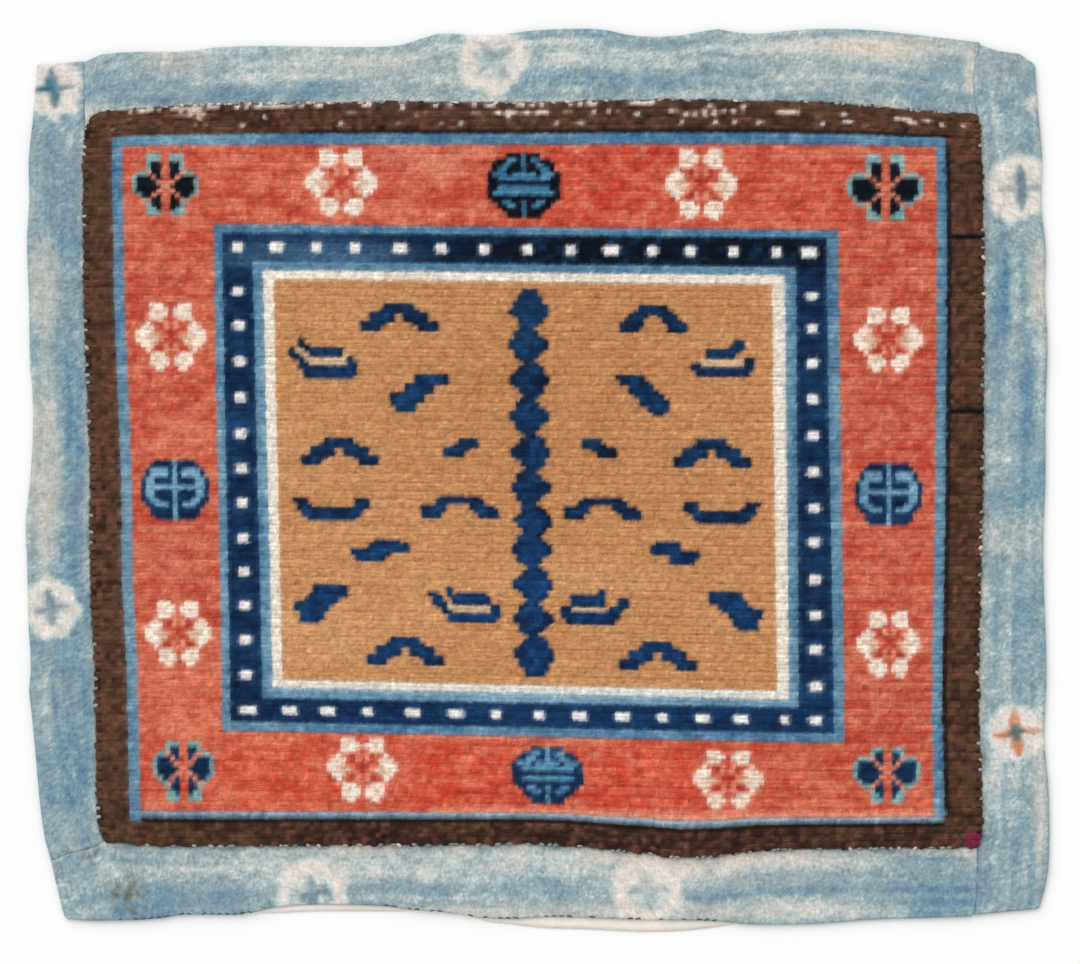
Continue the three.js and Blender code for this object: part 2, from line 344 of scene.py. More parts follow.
# %% [markdown]
# ## The chart: half rows
#
# Within one loop the weaver can change the yarn, so a line may be half a row high. From
# here on the chart has two lines for each row. Small lines are laid in first: a black line
# parts the blue from the brown, and a salmon one lies along the foot of the red. Two navy
# lines cross the brown at the right, where the weaver used up a dark yarn, and a few
# crimson knots sit in the last corner.

# %% Split the rows and add the odd lines
LINES_PER_ROW = 2
HALF_LINES = table(
    "line from to yarn",
    (7, 46, 182, "black"), (159, 70, 178, "salmon"), (161, 8, 180, "black"),
    (29, 180, 188, "black navy"), (69, 180, 188, "black navy"),
)
DARK_COLUMN = {"knot": 180, "first": 10, "last": 160}
CRIMSON_LINES, CRIMSON_KNOTS = 4, 3
chart = np.repeat(chart, LINES_PER_ROW, axis=0)
for half in HALF_LINES:
    chart[half["line"], half["from"] : half["to"]] = half["yarn"]
chart[DARK_COLUMN["first"] : DARK_COLUMN["last"], DARK_COLUMN["knot"]] = "black"
chart[-CRIMSON_LINES:, -CRIMSON_KNOTS:] = "crimson"
print("chart", chart.shape)

# %% [markdown]
# ## The chart: small repeats
#
# Blossoms, roundels and stripes come back many times, so each is charted once, with a
# letter for each knot of a line, and woven in wherever it belongs. A full stop leaves the
# ground. The roundels are plain wheels of bars and arcs, dark outside and teal within.

# %% Charts of the blossoms
YARN_OF = {
    "#": "stripe", "-": "pale camel", "w": "cream", "v": "blush", "p": "salmon",
    "r": "deep red", "t": "turquoise", "k": "black navy", "n": "navy", "b": "teal",
}
PALE_BLOSSOM = (
    "...www...www...",
    "...wwww.wwww...",
    "...wvww.wwvw...",
    "...www...www...",
    "..w..rp.pr..w..",
    ".www.rp.pr.www.",
    "wwwv..rrr..vwww",
    "wwvvvp.r.pvvvww",
    "wwwvv.r.r.vvwww",
    ".wwv.rprpr.vww.",
    "..w.rrp.prr.w..",
    "...www...www...",
    "...wvww.wwvw...",
    "...wwww.wwww...",
    "....ww...ww....",
)
DARK_BLOSSOM = (
    "...ttt..ttt...",
    "...ttt..ttt...",
    "...tkk..kkt...",
    "...tkk..kkt...",
    ".ttpkk..kkptt.",
    "tkkkpk..kpkkkt",
    "tkkkkp..pkkkkt",
    "tkkkkkppkkkkkt",
    "tkkkkp..pkkkkt",
    ".tkkpk..kpkkt.",
    "..tpkk..kkpt..",
    "...tkk..kkt...",
    "...ttk..ktt...",
    "...ttt..ttt...",
)


def without(repeat, *lines):
    """A repeat with some of its lines left out, for the foot, where the rows are taller."""
    return tuple(letters for line, letters in enumerate(repeat) if line not in lines)


def widened(repeat):
    """A repeat with its third knot from either end woven twice."""
    return tuple(letters[:3] + letters[2:-2] + letters[-3:] for letters in repeat)


WIDE_BLOSSOM = widened(DARK_BLOSSOM)
LOW_BLOSSOM = without(PALE_BLOSSOM, 1, 8, 13)
NAVY_BLOSSOM = without([letters.replace("k", "n") for letters in DARK_BLOSSOM], 1, 3)
print("a blossom is", len(PALE_BLOSSOM[0]), "knots by", len(PALE_BLOSSOM), "lines")

# %% Charts of the roundels
BARRED_ROUNDEL = (
    "....nnnbnnn....",
    "..nnbbnbnbbnn..",
    ".nnbbnnbnnbbnn.",
    ".nbbnnnbnnnbbn.",
    "nbbbnbbbbbnbbbn",
    "nnbbbbbbbbbbbnn",
    "nnnnnnnnnnnnnnn",
    "nnbbbbbbbbbbbnn",
    "nbbbbbbbbbbbbbn",
    "nnnnnnnnnnnnnnn",
    ".nnbbnnbnnbbnn.",
    "..nnbbnbnbbnn..",
    "...nnnnbnnnn...",
    "....nnnbnnn....",
)
DARK_ROUNDEL = tuple(letters.replace("n", "k") for letters in BARRED_ROUNDEL)
LOW_ROUNDEL = without(BARRED_ROUNDEL, 3, 8)
WHEEL_ROUNDEL = (
    "...nnnnbnnnn...",
    "..nnnnnbnnnnn..",
    ".nbbbbnbnbbbbn.",
    ".nbbbbnbnbbbbn.",
    "nbbnnnnbnnnnbbn",
    "nbbnnnnbnnnnbbn",
    "nbbbbbbbbbbbbbn",
    "nbbnnnnbnnnnbbn",
    "nbbnnnnbnnnnbbn",
    "nnbbnnnbnnnbbnn",
    ".nnbbbnbnbbbnn.",
    "..nnnnnbnnnnn..",
    "..nnnnnbnnnnn..",
    "...nnnnbnnnn...",
)
print("a roundel is", len(WHEEL_ROUNDEL), "lines high")

# %% [markdown]
# ## The chart: tiger stripes
#
# The stripes on the field are the old tiger motifs: arches, leaves, bowls, short steps and
# little boats with a pale line along the hull. The right half mirrors the left, as a weaver
# does it, but the boats differ, one leaf on the right is slimmer, and nothing quite meets
# its partner knot for knot.

# %% Charts of the stripes
ARCH = (
    ".....######.....",
    "....########....",
    "..#####..#####..",
    "..#####..#####..",
    "#####......#####",
    "####........####",
)
NARROW_ARCH = (
    "....######....",
    "...########...",
    "..####..####..",
    ".####....####.",
    "#####.....####",
    "####......####",
)
FLAT_ARCH = (
    "....########....",
    "...##########...",
    "#####.....#####.",
    "#####......#####",
    "####........####",
)
BOWL = (
    "###..........###",
    ".###.........###",
    ".##############.",
    "..############..",
    "...##########...",
)
SMALL_STEP = (
    "...####",
    "..#####",
    "#####..",
    "####...",
)
STEP = (
    ".....#####..",
    "....########",
    "############",
    "########....",
    ".######.....",
)
SHORT_STEP = (
    "....#####.",
    "....######",
    "##########",
    "######....",
    ".#####....",
)
UPPER_LEAF = (
    ".....#######",
    ".....#######",
    "...######...",
    "...######...",
    "#######.....",
    "#######.....",
    "#####.......",
    ".####.......",
)
LEAF = (
    "....#######.",
    "....#######.",
    "...########.",
    "..#######...",
    "########....",
    "#######.....",
    ".#####......",
    ".#####......",
    ".####.......",
)
SLIM_LEAF = (
    "######.....",
    ".######....",
    "...#####...",
    "...######..",
    "....######.",
    ".....######",
    ".....######",
    ".......####",
    "........##.",
)
BOAT_UPPER_LEFT = (
    "..#...........",
    "..##..........",
    "#--########...",
    "##--#######-..",
    ".##---------#.",
    "..##--------##",
    "..############",
    "...###########",
    "...##########.",
)
BOAT_UPPER_RIGHT = (
    ".........##..",
    "........###..",
    "...#######...",
    "...######....",
    "..---------##",
    "##---------##",
    "#############",
    ".###########.",
)
BOAT_LOWER_LEFT = (
    "....#..........",
    "##..#.######...",
    ".##..########..",
    ".###-########..",
    "..##---------##",
    "...##--------##",
    "....###########",
    "....##########.",
)
BOAT_LOWER_RIGHT = (
    "........#......",
    "..#######......",
    "..#######...##.",
    "..#######...##.",
    "##-------.###..",
    "############...",
    "############...",
    ".##########....",
)
print("an arch is", len(ARCH[0]), "knots wide")

# %% [markdown]
# ## The chart: weaving the repeats in
#
# A short table says which repeat goes where, by its first knot and its top line.

# %% Weave the repeats
BLOSSOMS = table(
    "repeat knot line",
    (DARK_BLOSSOM, 10, 12), (PALE_BLOSSOM, 47, 11), (PALE_BLOSSOM, 122, 11),
    (WIDE_BLOSSOM, 159, 12), (PALE_BLOSSOM, 10, 46), (PALE_BLOSSOM, 160, 46),
    (PALE_BLOSSOM, 10, 114), (PALE_BLOSSOM, 160, 114), (NAVY_BLOSSOM, 11, 146),
    (without(PALE_BLOSSOM, 1, 8), 49, 145), (LOW_BLOSSOM, 126, 146),
    (widened(NAVY_BLOSSOM), 159, 145),
)
ROUNDELS = table(
    "repeat knot line",
    (DARK_ROUNDEL, 85, 12), (WHEEL_ROUNDEL, 10, 81), (WHEEL_ROUNDEL, 160, 81),
    (LOW_ROUNDEL, 88, 146),
)
LEFT_STRIPES = table(
    "repeat knot line",
    (ARCH, 58, 46), (BOAT_UPPER_LEFT, 43, 54), (UPPER_LEAF, 64, 62), (ARCH, 45, 76),
    (SMALL_STEP, 75, 76), (BOWL, 43, 90), (FLAT_ARCH, 70, 89), (STEP, 55, 99), (LEAF, 43, 110),
    (BOAT_LOWER_LEFT, 71, 110), (ARCH, 58, 122),
)
RIGHT_STRIPES = table(
    "repeat knot line",
    (NARROW_ARCH, 112, 46), (BOAT_UPPER_RIGHT, 127, 54), (FLAT_ARCH, 100, 89),
    (BOAT_LOWER_RIGHT, 99, 110), (ARCH, 111, 122), (ARCH, 123, 76), (SLIM_LEAF, 111, 62),
)
MIRRORED_STRIPES = table(
    "repeat knot line",
    (SMALL_STEP, 104, 76), (BOWL, 125, 90), (SHORT_STEP, 118, 99), (LEAF, 129, 110),
)


def weave(repeat, knot, line, mirrored=False):
    """Weaves one charted repeat into the chart, starting at this knot and line."""
    for down, letters in enumerate(repeat):
        for over, letter in enumerate(letters[::-1] if mirrored else letters):
            if letter != ".":
                chart[line + down, knot + over] = YARN_OF[letter]


for place in BLOSSOMS + ROUNDELS + LEFT_STRIPES + RIGHT_STRIPES:
    weave(**place)
for place in MIRRORED_STRIPES:
    weave(mirrored=True, **place)
print("stripes woven", len(LEFT_STRIPES + RIGHT_STRIPES + MIRRORED_STRIPES))

# %% [markdown]
# ## The chart: the spine
#
# Eleven linked beads run down the middle of the field, as a tiger's backbone. A bead is
# eight knots wide at its tips and draws in evenly to a narrow waist. The beads lean a
# quarter of a knot to one side and the other in turn, and the two end ones are blunt.

# %% Weave the spine
SPINE_KNOT = 93
SPINE_LEAN = 0.25
SPINE_FIRST, SPINE_LAST = 42, 129
SPINE_TIPS = (47.5, 55, 63, 71, 79, 87, 94.5, 101, 109, 117, 125)
BEAD_WIDTH, BEAD_NARROWS, WAIST = 8.2, 1.35, 3.3
BLUNT = 0.75
for line in range(SPINE_FIRST, SPINE_LAST + 1):
    away, bead = min((abs(line + 0.5 - tip), bead) for bead, tip in enumerate(SPINE_TIPS))
    narrows = BEAD_NARROWS if SPINE_TIPS[0] < line < SPINE_TIPS[-1] else BEAD_NARROWS * BLUNT
    width = max(WAIST, BEAD_WIDTH - narrows * away)
    centre = SPINE_KNOT + SPINE_LEAN * (-1) ** bead
    knots = np.arange(COLUMNS) + 0.5
    chart[line, np.abs(knots - centre) < width / 2] = "stripe"
print("lines in the spine", SPINE_LAST - SPINE_FIRST + 1)

# %% [markdown]
# ## The chart: worn knots
#
# The dark brown was dyed with iron, which eats the wool. Along the top edge it is worn to
# the ivory foundation knot by knot, in short runs. In each run a knot is worn by chance,
# and some of the worn ones still keep a little of their brown.

# %% Wear some knots down
WORN = table(
    "line from to chance",
    (0, 8, 19, 0.5), (0, 19, 47, 0.85), (0, 47, 87, 0.4), (0, 91, 121, 0.45), (1, 19, 26, 0.7),
    (2, 19, 26, 0.95), (2, 56, 58, 1), (1, 67, 68, 1), (2, 67, 85, 0.25), (2, 87, 98, 1),
    (2, 99, 114, 0.25), (1, 126, 139, 0.35), (2, 123, 139, 0.6), (3, 126, 136, 0.25),
    (5, 141, 144, 0.95), (2, 146, 151, 0.95), (2, 155, 160, 0.7), (4, 158, 160, 0.9),
    (2, 169, 178, 0.7), (3, 172, 186, 0.3), (3, 2, 184, 0.07), (5, 2, 184, 0.05),
)
STILL_BROWN = 0.3
chances = np.random.default_rng(12)
for run in WORN:
    for knot in range(run["from"], run["to"]):
        if chances.random() < run["chance"]:
            still_brown = run["line"] > 0 and chances.random() < STILL_BROWN
            chart[run["line"], knot] = "half worn" if still_brown else "worn"
print("worn knots", int((chart == "worn").sum()), "half worn", int((chart == "half worn").sum()))

# %% [markdown]
# ## From yarn to colour
#
# No dye lot is even. Each yarn has its main colour, a second that it drifts to in patches
# drawn out along the rows, and a third that single knots take. That gives the streaks that
# are called abrash. Broad soft spots then shift parts of a band, such as the red towards
# salmon or crimson, and last a fine mottling breaks up each of the larger grounds.

# %% Dye the knots
YARNS = table(
    "yarn main patch speck",
    ("brown", "#543b2c", "#614435", "#36271d"), ("black", "#1a120f", "#251a14", "#110c0a"),
    ("blue", "#45769a", "#7ca5ba", "#2c5b82"), ("red", "#c8513b", "#e48868", "#b03121"),
    ("navy", "#0b2445", "#1b446f", "#061226"), ("stripe", "#0b2446", "#16436c", "#06132a"),
    ("light blue", "#5787a4", "#8db0c0", "#38698c"), ("ivory", "#ebe2d5", "#f2e6d6", "#d6c9b9"),
    ("pearl", "#efece9", "#f2eae2", "#dcd6d4"), ("cream", "#f3dfce", "#f6e7da", "#e4c8b3"),
    ("camel", "#c48a5b", "#d09a6a", "#b57947"), ("pale camel", "#d3b08c", "#dbbb99", "#c19d78"),
    ("blush", "#dfc0a8", "#dbb59c", "#d0a488"), ("salmon", "#dd8a70", "#e3957a", "#d27558"),
    ("deep red", "#b03a2a", "#b8452f", "#9c2c20"), ("turquoise", "#7ba5a4", "#98bab4", "#588a92"),
    ("teal", "#3f799d", "#70a5bf", "#265a80"), ("black navy", "#070c14", "#0c1928", "#03060a"),
    ("worn", "#d6c8bd", "#e6dcd4", "#ac9284"), ("half worn", "#8a6a5c", "#a58a7b", "#64463a"),
    ("crimson", "#7d2440", "#94305a", "#5e1c30"),
)
SOFT_SPOTS = table(
    "on x y wide high to share",
    ("red", -80, 240, 50, 20, "#d88c70", 0.7), ("red", 45, 222, 85, 50, "#ca3524", 0.7),
    ("red", -205, 215, 50, 40, "#cf6348", 0.6), ("red", 190, 215, 70, 40, "#ce543d", 0.6),
    ("red", -275, 120, 50, 110, "#c3644c", 0.7), ("red", -268, -90, 50, 110, "#ba6048", 0.7),
    ("red", -262, -170, 50, 45, "#e58362", 0.8), ("red", 262, 90, 50, 190, "#c0604c", 0.7),
    ("red", 262, -130, 50, 90, "#bb5a44", 0.6), ("red", -195, -220, 70, 40, "#de6040", 0.8),
    ("red", -60, -222, 60, 40, "#d2371d", 0.85), ("red", 75, -225, 70, 40, "#d9432a", 0.8),
    ("red", 195, -225, 60, 40, "#c85f46", 0.6), ("brown", 30, -262, 330, 36, "#281a18", 1.15),
    ("brown", 60, 268, 300, 30, "#45302a", 0.5), ("brown", 322, 0, 50, 280, "#422c22", 0.5),
    ("brown", -322, 20, 50, 220, "#664a38", 0.4), ("camel", 0, 70, 160, 110, "#b37648", 0.5),
    ("camel", -155, -130, 70, 60, "#d09b6c", 0.5), ("navy", 100, 172, 210, 24, "#030b16", 1.5),
    ("navy", -165, 167, 80, 13, "#4c7494", 1.0), ("navy", 60, -176, 260, 20, "#183f6e", 0.5),
    ("blue", -265, 255, 70, 10, "#6d9db4", 0.7), ("blue", -145, 255, 60, 10, "#2f6796", 0.6),
    ("blue", 150, 250, 190, 12, "#39709a", 0.6), ("blue", -120, -251, 120, 8, "#7fa6bd", 0.6),
    ("blue", -300, -40, 150, 230, "#7ea2b2", 0.75), ("blue", 300, -10, 150, 230, "#7199ad", 0.7),
    ("blue", 0, -250, 330, 14, "#a2bac8", 0.8), ("teal", -280, -8, 40, 40, "#8fb8cd", 0.75),
    ("teal", 270, -8, 40, 40, "#8fb8cd", 0.75), ("teal", -20, -225, 40, 40, "#6a9ab6", 0.6),
    ("light blue", 0, -163, 240, 16, "#86abc2", 0.75),
    ("light blue", 0, 151, 240, 16, "#44718d", 0.6),
    ("light blue", 200, 0, 30, 190, "#4d7690", 0.5), ("ivory", 0, -156, 230, 14, "#c4d4d8", 0.6),
    ("red", 262, -175, 40, 50, "#bf5f4a", 0.4), ("stripe", -9, 115, 22, 40, "#1f5078", 0.5),
    ("stripe", -6, -95, 260, 75, "#123f76", 0.55),
)
MOTTLE = table(
    "on wide high seed lighter darker share",
    ("brown", 3.6, 3.2, 24, "#7a4b3f", "#1d140f", 0.8),
    ("brown", 4.5, 4, 25, "#5f4830", "#3d1f19", 0.5),
    ("red", 5, 4.5, 24, "#e08a6a", "#a92e1e", 0.5), ("red", 15, 4, 26, "#e2876a", "#b23424", 0.5),
    ("navy", 5, 4.5, 24, "#1c4068", "#060f20", 0.45),
    ("camel", 9, 3.5, 26, "#d8a273", "#a5683c", 0.3),
    ("blue", 5, 4, 27, "#8db4c4", "#1f4d78", 0.45),
    ("light blue", 6, 4, 27, "#9cc0cc", "#2c5f86", 0.35),
    ("stripe", 4.5, 4, 28, "#235489", "#040d1c", 0.5),
)
ABRASH = table(
    "wide high seed share",
    (46, 5.5, 21, 0.55), (120, 40, 22, 0.4), (15, 3.5, 23, 0.5),
)
DRIFT_DARK, PALE_KNOT, DARK_KNOT = 0.7, 0.45, 0.5
SPOT_EVEN, SPOT_STREAK = 0.75, 0.35
SPOT_EDGE = 1.3
KNOT_MOTTLE = 0.5
LINES = ROWS * LINES_PER_ROW
knot_x, knot_y = knot_place(np.arange(COLUMNS)[None, :] + 0.5,
                            (np.arange(LINES)[:, None] + 0.5) / LINES_PER_ROW)
dice = np.random.default_rng(11)


def soft_spot(spot, x, y):
    """A soft-edged oval: 1 in its middle, 0 outside."""
    away = np.hypot((x - spot["x"]) / spot["wide"], (y - spot["y"]) / spot["high"])
    return eased(np.clip(SPOT_EDGE - away, 0, 1))


abrash = clouds(knot_x, knot_y, ABRASH)
single = dice.uniform(-1, 1, chart.shape)
wool = np.zeros(chart.shape + (3,))
for dye in YARNS:
    here = chart == dye["yarn"]
    tint = mixed(linear(dye["main"]), linear(dye["patch"]), abrash[here])
    tint = mixed(tint, linear(dye["speck"]), -abrash[here] * DRIFT_DARK)
    tint = mixed(tint, linear(dye["patch"]), -single[here] * PALE_KNOT)
    wool[here] = mixed(tint, linear(dye["speck"]), single[here] * DARK_KNOT)
for spot in SOFT_SPOTS:
    here = chart == spot["on"]
    share = soft_spot(spot, knot_x, knot_y) * spot["share"] * (SPOT_EVEN + SPOT_STREAK * abrash)
    wool[here] = mixed(wool[here], linear(spot["to"]), share[here])
for mottle in MOTTLE:
    here = chart == mottle["on"]
    lumps = cloud(knot_x, knot_y, mottle["wide"], mottle["high"], mottle["seed"])
    lumps = lumps + KNOT_MOTTLE * single
    wool[here] = mixed(wool[here], linear(mottle["lighter"]), lumps[here] * mottle["share"])
    wool[here] = mixed(wool[here], linear(mottle["darker"]), -lumps[here] * mottle["share"])
NEIGHBOURS = [(axis, step) for axis in (0, 1) for step in (-1, 1)]
HALO, STRIPE_EDGE = 0.09, 0.18
stripe = chart == "stripe"
stripes_beside = sum(np.roll(stripe, step, axis=axis) for axis, step in NEIGHBOURS)
wool[chart == "camel"] *= 1 + HALO * stripes_beside[chart == "camel"][..., None]
wool[stripe] *= 1 - STRIPE_EDGE * (4 - stripes_beside[stripe])[..., None]
print("yarns", len(YARNS), "mean brightness", round(float((wool @ LUMA).mean()), 3))

# %% [markdown]
# ## The pile as a surface
#
# Nearly sixteen thousand knots are too many to model one by one, and from a step away cut pile
# reads as rows with fine grooves between them. So the pile is one grid: two points across
# each knot, and three along each row, one in the groove and two on the crown. Each row
# is shifted a little against the next, and no point sits quite true.

# %% Lay out the grid of the pile
KNOT_POINTS = (0.14, 0.86)
ROW_POINTS = (0.0, 0.22, 0.78)
ROW_SHIFT, POINT_SHIFT = 0.22, 0.2
PILE_TOP = float(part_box("pile_rug")[1].z) / MM
grid_column = np.array([i + p for i in range(COLUMNS) for p in KNOT_POINTS])
grid_column[0], grid_column[-1] = 0, COLUMNS
grid_row = np.array([j + p for j in range(ROWS) for p in ROW_POINTS] + [ROWS])
in_groove = np.isclose(grid_row % 1, 0)
pile_x, pile_y = knot_place(grid_column[None, :], grid_row[:, None])
inside = (slice(1, -1), slice(1, -1))
row_shift = dice.normal(0, ROW_SHIFT, ROWS + 1)[grid_row.astype(int)]
pile_x[inside] += (row_shift[:, None] + dice.normal(0, POINT_SHIFT, pile_x.shape))[inside]
pile_y[inside] += dice.normal(0, POINT_SHIFT, pile_y.shape)[inside]
print("grid", pile_x.shape, "top at", round(PILE_TOP, 2), "mm")

# %% [markdown]
# ## Where two yarns meet
#
# The cut ends of a knot fan out a little over their neighbours, so no two colours meet in
# a clean step. Each point of the grid takes its own yarn and a share of those about it. The
# shares are mixed as the eye sees them, not as light adds up, or else a dark motif would
# look thin. A little unevenness in where a point looks makes the edges waver.

# %% Mix each point of the pile from the yarns about it
FAN_KNOTS, FAN_LINES = 0.4, 0.5
WAVER_KNOTS, WAVER_LINES = 0.06, 0.06
EYE = 2.2
COVER = {
    "stripe": 5.0, "pale camel": 3.0, "black navy": 2.0, "turquoise": 1.3, "salmon": 2.0,
    "ivory": 0.9, "pearl": 2.4, "cream": 1.2, "worn": 1.5,
}
cover = np.ones(chart.shape)
for yarn, weight in COVER.items():
    cover[chart == yarn] = weight


def fanned(values, column, line):
    """The values of the chart about these places, nearer ones counting for more."""
    deep = values.ndim == 3
    i0, j0 = np.floor(column).astype(int), np.floor(line).astype(int)
    total, weights = 0.0, 0.0
    for dj in (-1, 0, 1):
        for di in (-1, 0, 1):
            i, j = np.clip(i0 + di, 0, COLUMNS - 1), np.clip(j0 + dj, 0, LINES - 1)
            away = ((column - i - 0.5) / FAN_KNOTS) ** 2 + ((line - j - 0.5) / FAN_LINES) ** 2
            weight = np.exp(-away) * cover[j, i]
            total = total + values[j, i] * (weight[..., None] if deep else weight)
            weights = weights + weight
    return total / (weights[..., None] if deep else weights)


seen_column = grid_column[None, :] + dice.normal(0, WAVER_KNOTS, pile_x.shape)
seen_line = grid_row[:, None] * LINES_PER_ROW + dice.normal(0, WAVER_LINES, pile_x.shape)
pile_colour = fanned(wool ** (1 / EYE), seen_column, seen_line) ** EYE
print("pile colour", pile_colour.reshape(-1, 3).mean(0).round(3))

# %% Give the pile its height
GROOVE_DEPTH = 0.5
KNOT_UNEVEN = 0.12
POINT_UNEVEN = 0.12
SWELL = 0.4
GROOVE_VARIES = 0.7
LOWER = {
    "brown": 0.5, "black": 0.9, "navy": 0.1, "stripe": 0.15, "ivory": -0.15, "pearl": -0.25,
    "worn": 1.4, "half worn": 1.0,
}
HIGHEST = 0.3
EDGE_DROP = 1.3
knot_height = dice.normal(0, KNOT_UNEVEN, chart.shape)
for yarn, drop in LOWER.items():
    knot_height[chart == yarn] -= drop
height = fanned(knot_height, seen_column, seen_line)
groove = GROOVE_DEPTH * (1 + GROOVE_VARIES * cloud(pile_x, pile_y, 40, 14, 31))
height -= in_groove[:, None] * groove
height += SWELL * (cloud(pile_x, pile_y, 130, 90, 32) - 1) / 2
height += dice.normal(0, POINT_UNEVEN, height.shape)
height[[0, -1], :] -= EDGE_DROP
height[:, [0, -1]] -= EDGE_DROP
pile_z = PILE_TOP + np.minimum(height, HIGHEST)
print("pile from", round(float(pile_z.min()), 2), "to", round(float(pile_z.max()), 2), "mm")

# %% [markdown]
# ## Shade and flecks
#
# The grooves between the rows look darker, more so at the right of the rug than at the
# left, and the notches between the tufts at the sides are darkest. Hand-spun yarn is never
# one colour, so single points are lighter or darker.

# %% Shade the grooves and scatter the flecks
GROOVE_SHADE = {"left": 0.96, "right": 0.86}
FIBRE_TONE = 0.075
NOTCH_SHADE = 0.35
PALE_FLECK = {"share": 0.03, "tone": 1.3}
DARK_FLECK = {"share": 0.03, "tone": 0.75}
SHADE_FROM, SHADE_TO = -200, 200
to_right = eased(np.clip((pile_x - SHADE_FROM) / (SHADE_TO - SHADE_FROM), 0, 1))
shade = GROOVE_SHADE["left"] + (GROOVE_SHADE["right"] - GROOVE_SHADE["left"]) * to_right
tone = np.where(in_groove[:, None], shade, 1.0) * (1 + dice.normal(0, FIBRE_TONE, pile_x.shape))
throw = dice.random(pile_x.shape)
tone = np.where(throw < PALE_FLECK["share"], tone * PALE_FLECK["tone"], tone)
tone = np.where(throw > 1 - DARK_FLECK["share"], tone * DARK_FLECK["tone"], tone)
tone[:, [0, 1, -2, -1]] *= np.where(in_groove, NOTCH_SHADE, 1.0)[:, None]
pile_colour *= tone[..., None]
print("tone from", round(float(tone.min()), 2), "to", round(float(tone.max()), 2))

# %% [markdown]
# ## Ragged ends
#
# At the sides every row ends in a tuft that stands out over the cloth, and the foundation
# shows between two tufts. Along the top and foot the knots end at different lengths. The
# edge points of the grid are pushed out or pulled in to make these teeth.

# %% Push the edge points out and in
TUFT_OUT, TUFT_IN, TUFT_SPREAD = 1.2, -0.9, 0.7
END_OUT, END_IN = 1.9, -1.4
row_reach = np.where(in_groove, TUFT_IN, TUFT_OUT)
left_reach = row_reach + dice.normal(0, TUFT_SPREAD, len(grid_row))
right_reach = row_reach + dice.normal(0, TUFT_SPREAD, len(grid_row))
of_column = np.minimum(grid_column.astype(int), COLUMNS - 1)
top_reach = dice.uniform(END_IN, END_OUT, COLUMNS)[of_column]
bottom_reach = dice.uniform(END_IN, END_OUT, COLUMNS)[of_column]
foundation_x, foundation_y = pile_x.copy(), pile_y.copy()
pile_x[:, 0] -= left_reach
pile_x[:, -1] += right_reach
pile_y[0, :] += top_reach
pile_y[-1, :] -= bottom_reach
print("tufts reach", round(float(right_reach.max()), 1), "mm past the edge")

# %% [markdown]
# ## Closing the pile
#
# A sheet that is to be printed or weighed has to be closed. The rim of the grid is carried
# down the tufts, in to the edge of the foundation and down to the back, and a fan of faces
# about the middle shuts the underside. Mesh code is the plain way to make a sheet with this
# many regular points, and the same helper serves every sheet in the lesson.

# %% Mesh helpers
def rim_of(down, over):
    """The numbers of a grid's outer points, clockwise as seen from above."""
    index = np.arange(down * over).reshape(down, over)
    return np.concatenate([index[0, :-1], index[:-1, -1], index[-1, :0:-1], index[:0:-1, 0]])


def grid_faces(down, over, first=0):
    """Faces of a grid, facing up where its rows run down the sheet."""
    index = np.arange(down * over).reshape(down, over) + first
    corners = (index[1:, :-1], index[1:, 1:], index[:-1, 1:], index[:-1, :-1])
    return np.stack(corners, -1).reshape(-1, 4).tolist()


def wall_faces(upper_ring, lower_ring):
    """Faces between two rings of points, facing outwards for clockwise rings."""
    pairs = zip(upper_ring, np.roll(upper_ring, -1), np.roll(lower_ring, -1), lower_ring)
    return [[int(a), int(b), int(c), int(d)] for a, b, c, d in pairs]


def new_piece(name, points, faces):
    """A smooth-shaded object at the origin, from points in mm."""
    mesh = bpy.data.meshes.new(name)
    mesh.from_pydata((np.asarray(points) * MM).tolist(), [], faces)
    mesh.shade_smooth()
    piece = bpy.data.objects.new(name, mesh)
    bpy.context.scene.collection.objects.link(piece)
    return piece


def paint(piece, attribute, colours):
    """Keeps a colour for every point of the mesh."""
    layer = piece.data.color_attributes.new(attribute, "FLOAT_COLOR", "POINT")
    full = np.ones((len(piece.data.vertices), 4), np.float32)
    full[:, :3] = np.clip(colours, 0, 1)
    layer.data.foreach_set("color", full.ravel())


print("rim of a 3 by 4 grid", rim_of(3, 4).tolist())

# %% Build the pile
FOUNDATION_TOP, FOUNDATION_FOOT = 3.9, 1.3
PILE_FOOT = 4.7
WALL_SHADE = 0.55
down, over = pile_x.shape
rim = rim_of(down, over)
crown = np.stack([pile_x, pile_y, pile_z], -1).reshape(-1, 3)
edge = np.stack([foundation_x, foundation_y], -1).reshape(-1, 2)[rim]
tuft_foot = np.column_stack([crown[rim, :2], np.full(len(rim), PILE_FOOT)])
selvedge = np.column_stack([edge, np.full(len(rim), FOUNDATION_TOP)])
underside = np.column_stack([edge, np.full(len(rim), FOUNDATION_FOOT)])
points = np.vstack([crown, tuft_foot, selvedge, underside, [[0, 0, FOUNDATION_FOOT]]])
rings = [rim] + [len(crown) + k * len(rim) + np.arange(len(rim)) for k in range(3)]
faces = grid_faces(down, over)
for a, b in zip(rings, rings[1:]):
    faces += wall_faces(a, b)
middle = len(points) - 1
faces += [[int(b), middle, int(a)][::-1] for a, b in zip(rings[3], np.roll(rings[3], -1))]
knotted_pile = new_piece("knotted_pile", points, faces)
flat_colour = pile_colour.reshape(-1, 3)
# The foundation is ivory, but it is painted dark brown here as painted shade in the gaps between
# the tufts.
foundation_painted_shade = np.tile(linear("#6b5748"), (len(rim), 1))
paint(knotted_pile, "wool", np.vstack([
    flat_colour, flat_colour[rim] * WALL_SHADE,
    foundation_painted_shade, foundation_painted_shade, foundation_painted_shade[:1],
]))
line_of_point = np.repeat(grid_row * LINES_PER_ROW, over)
line_layer = knotted_pile.data.attributes.new("line", "FLOAT", "POINT")
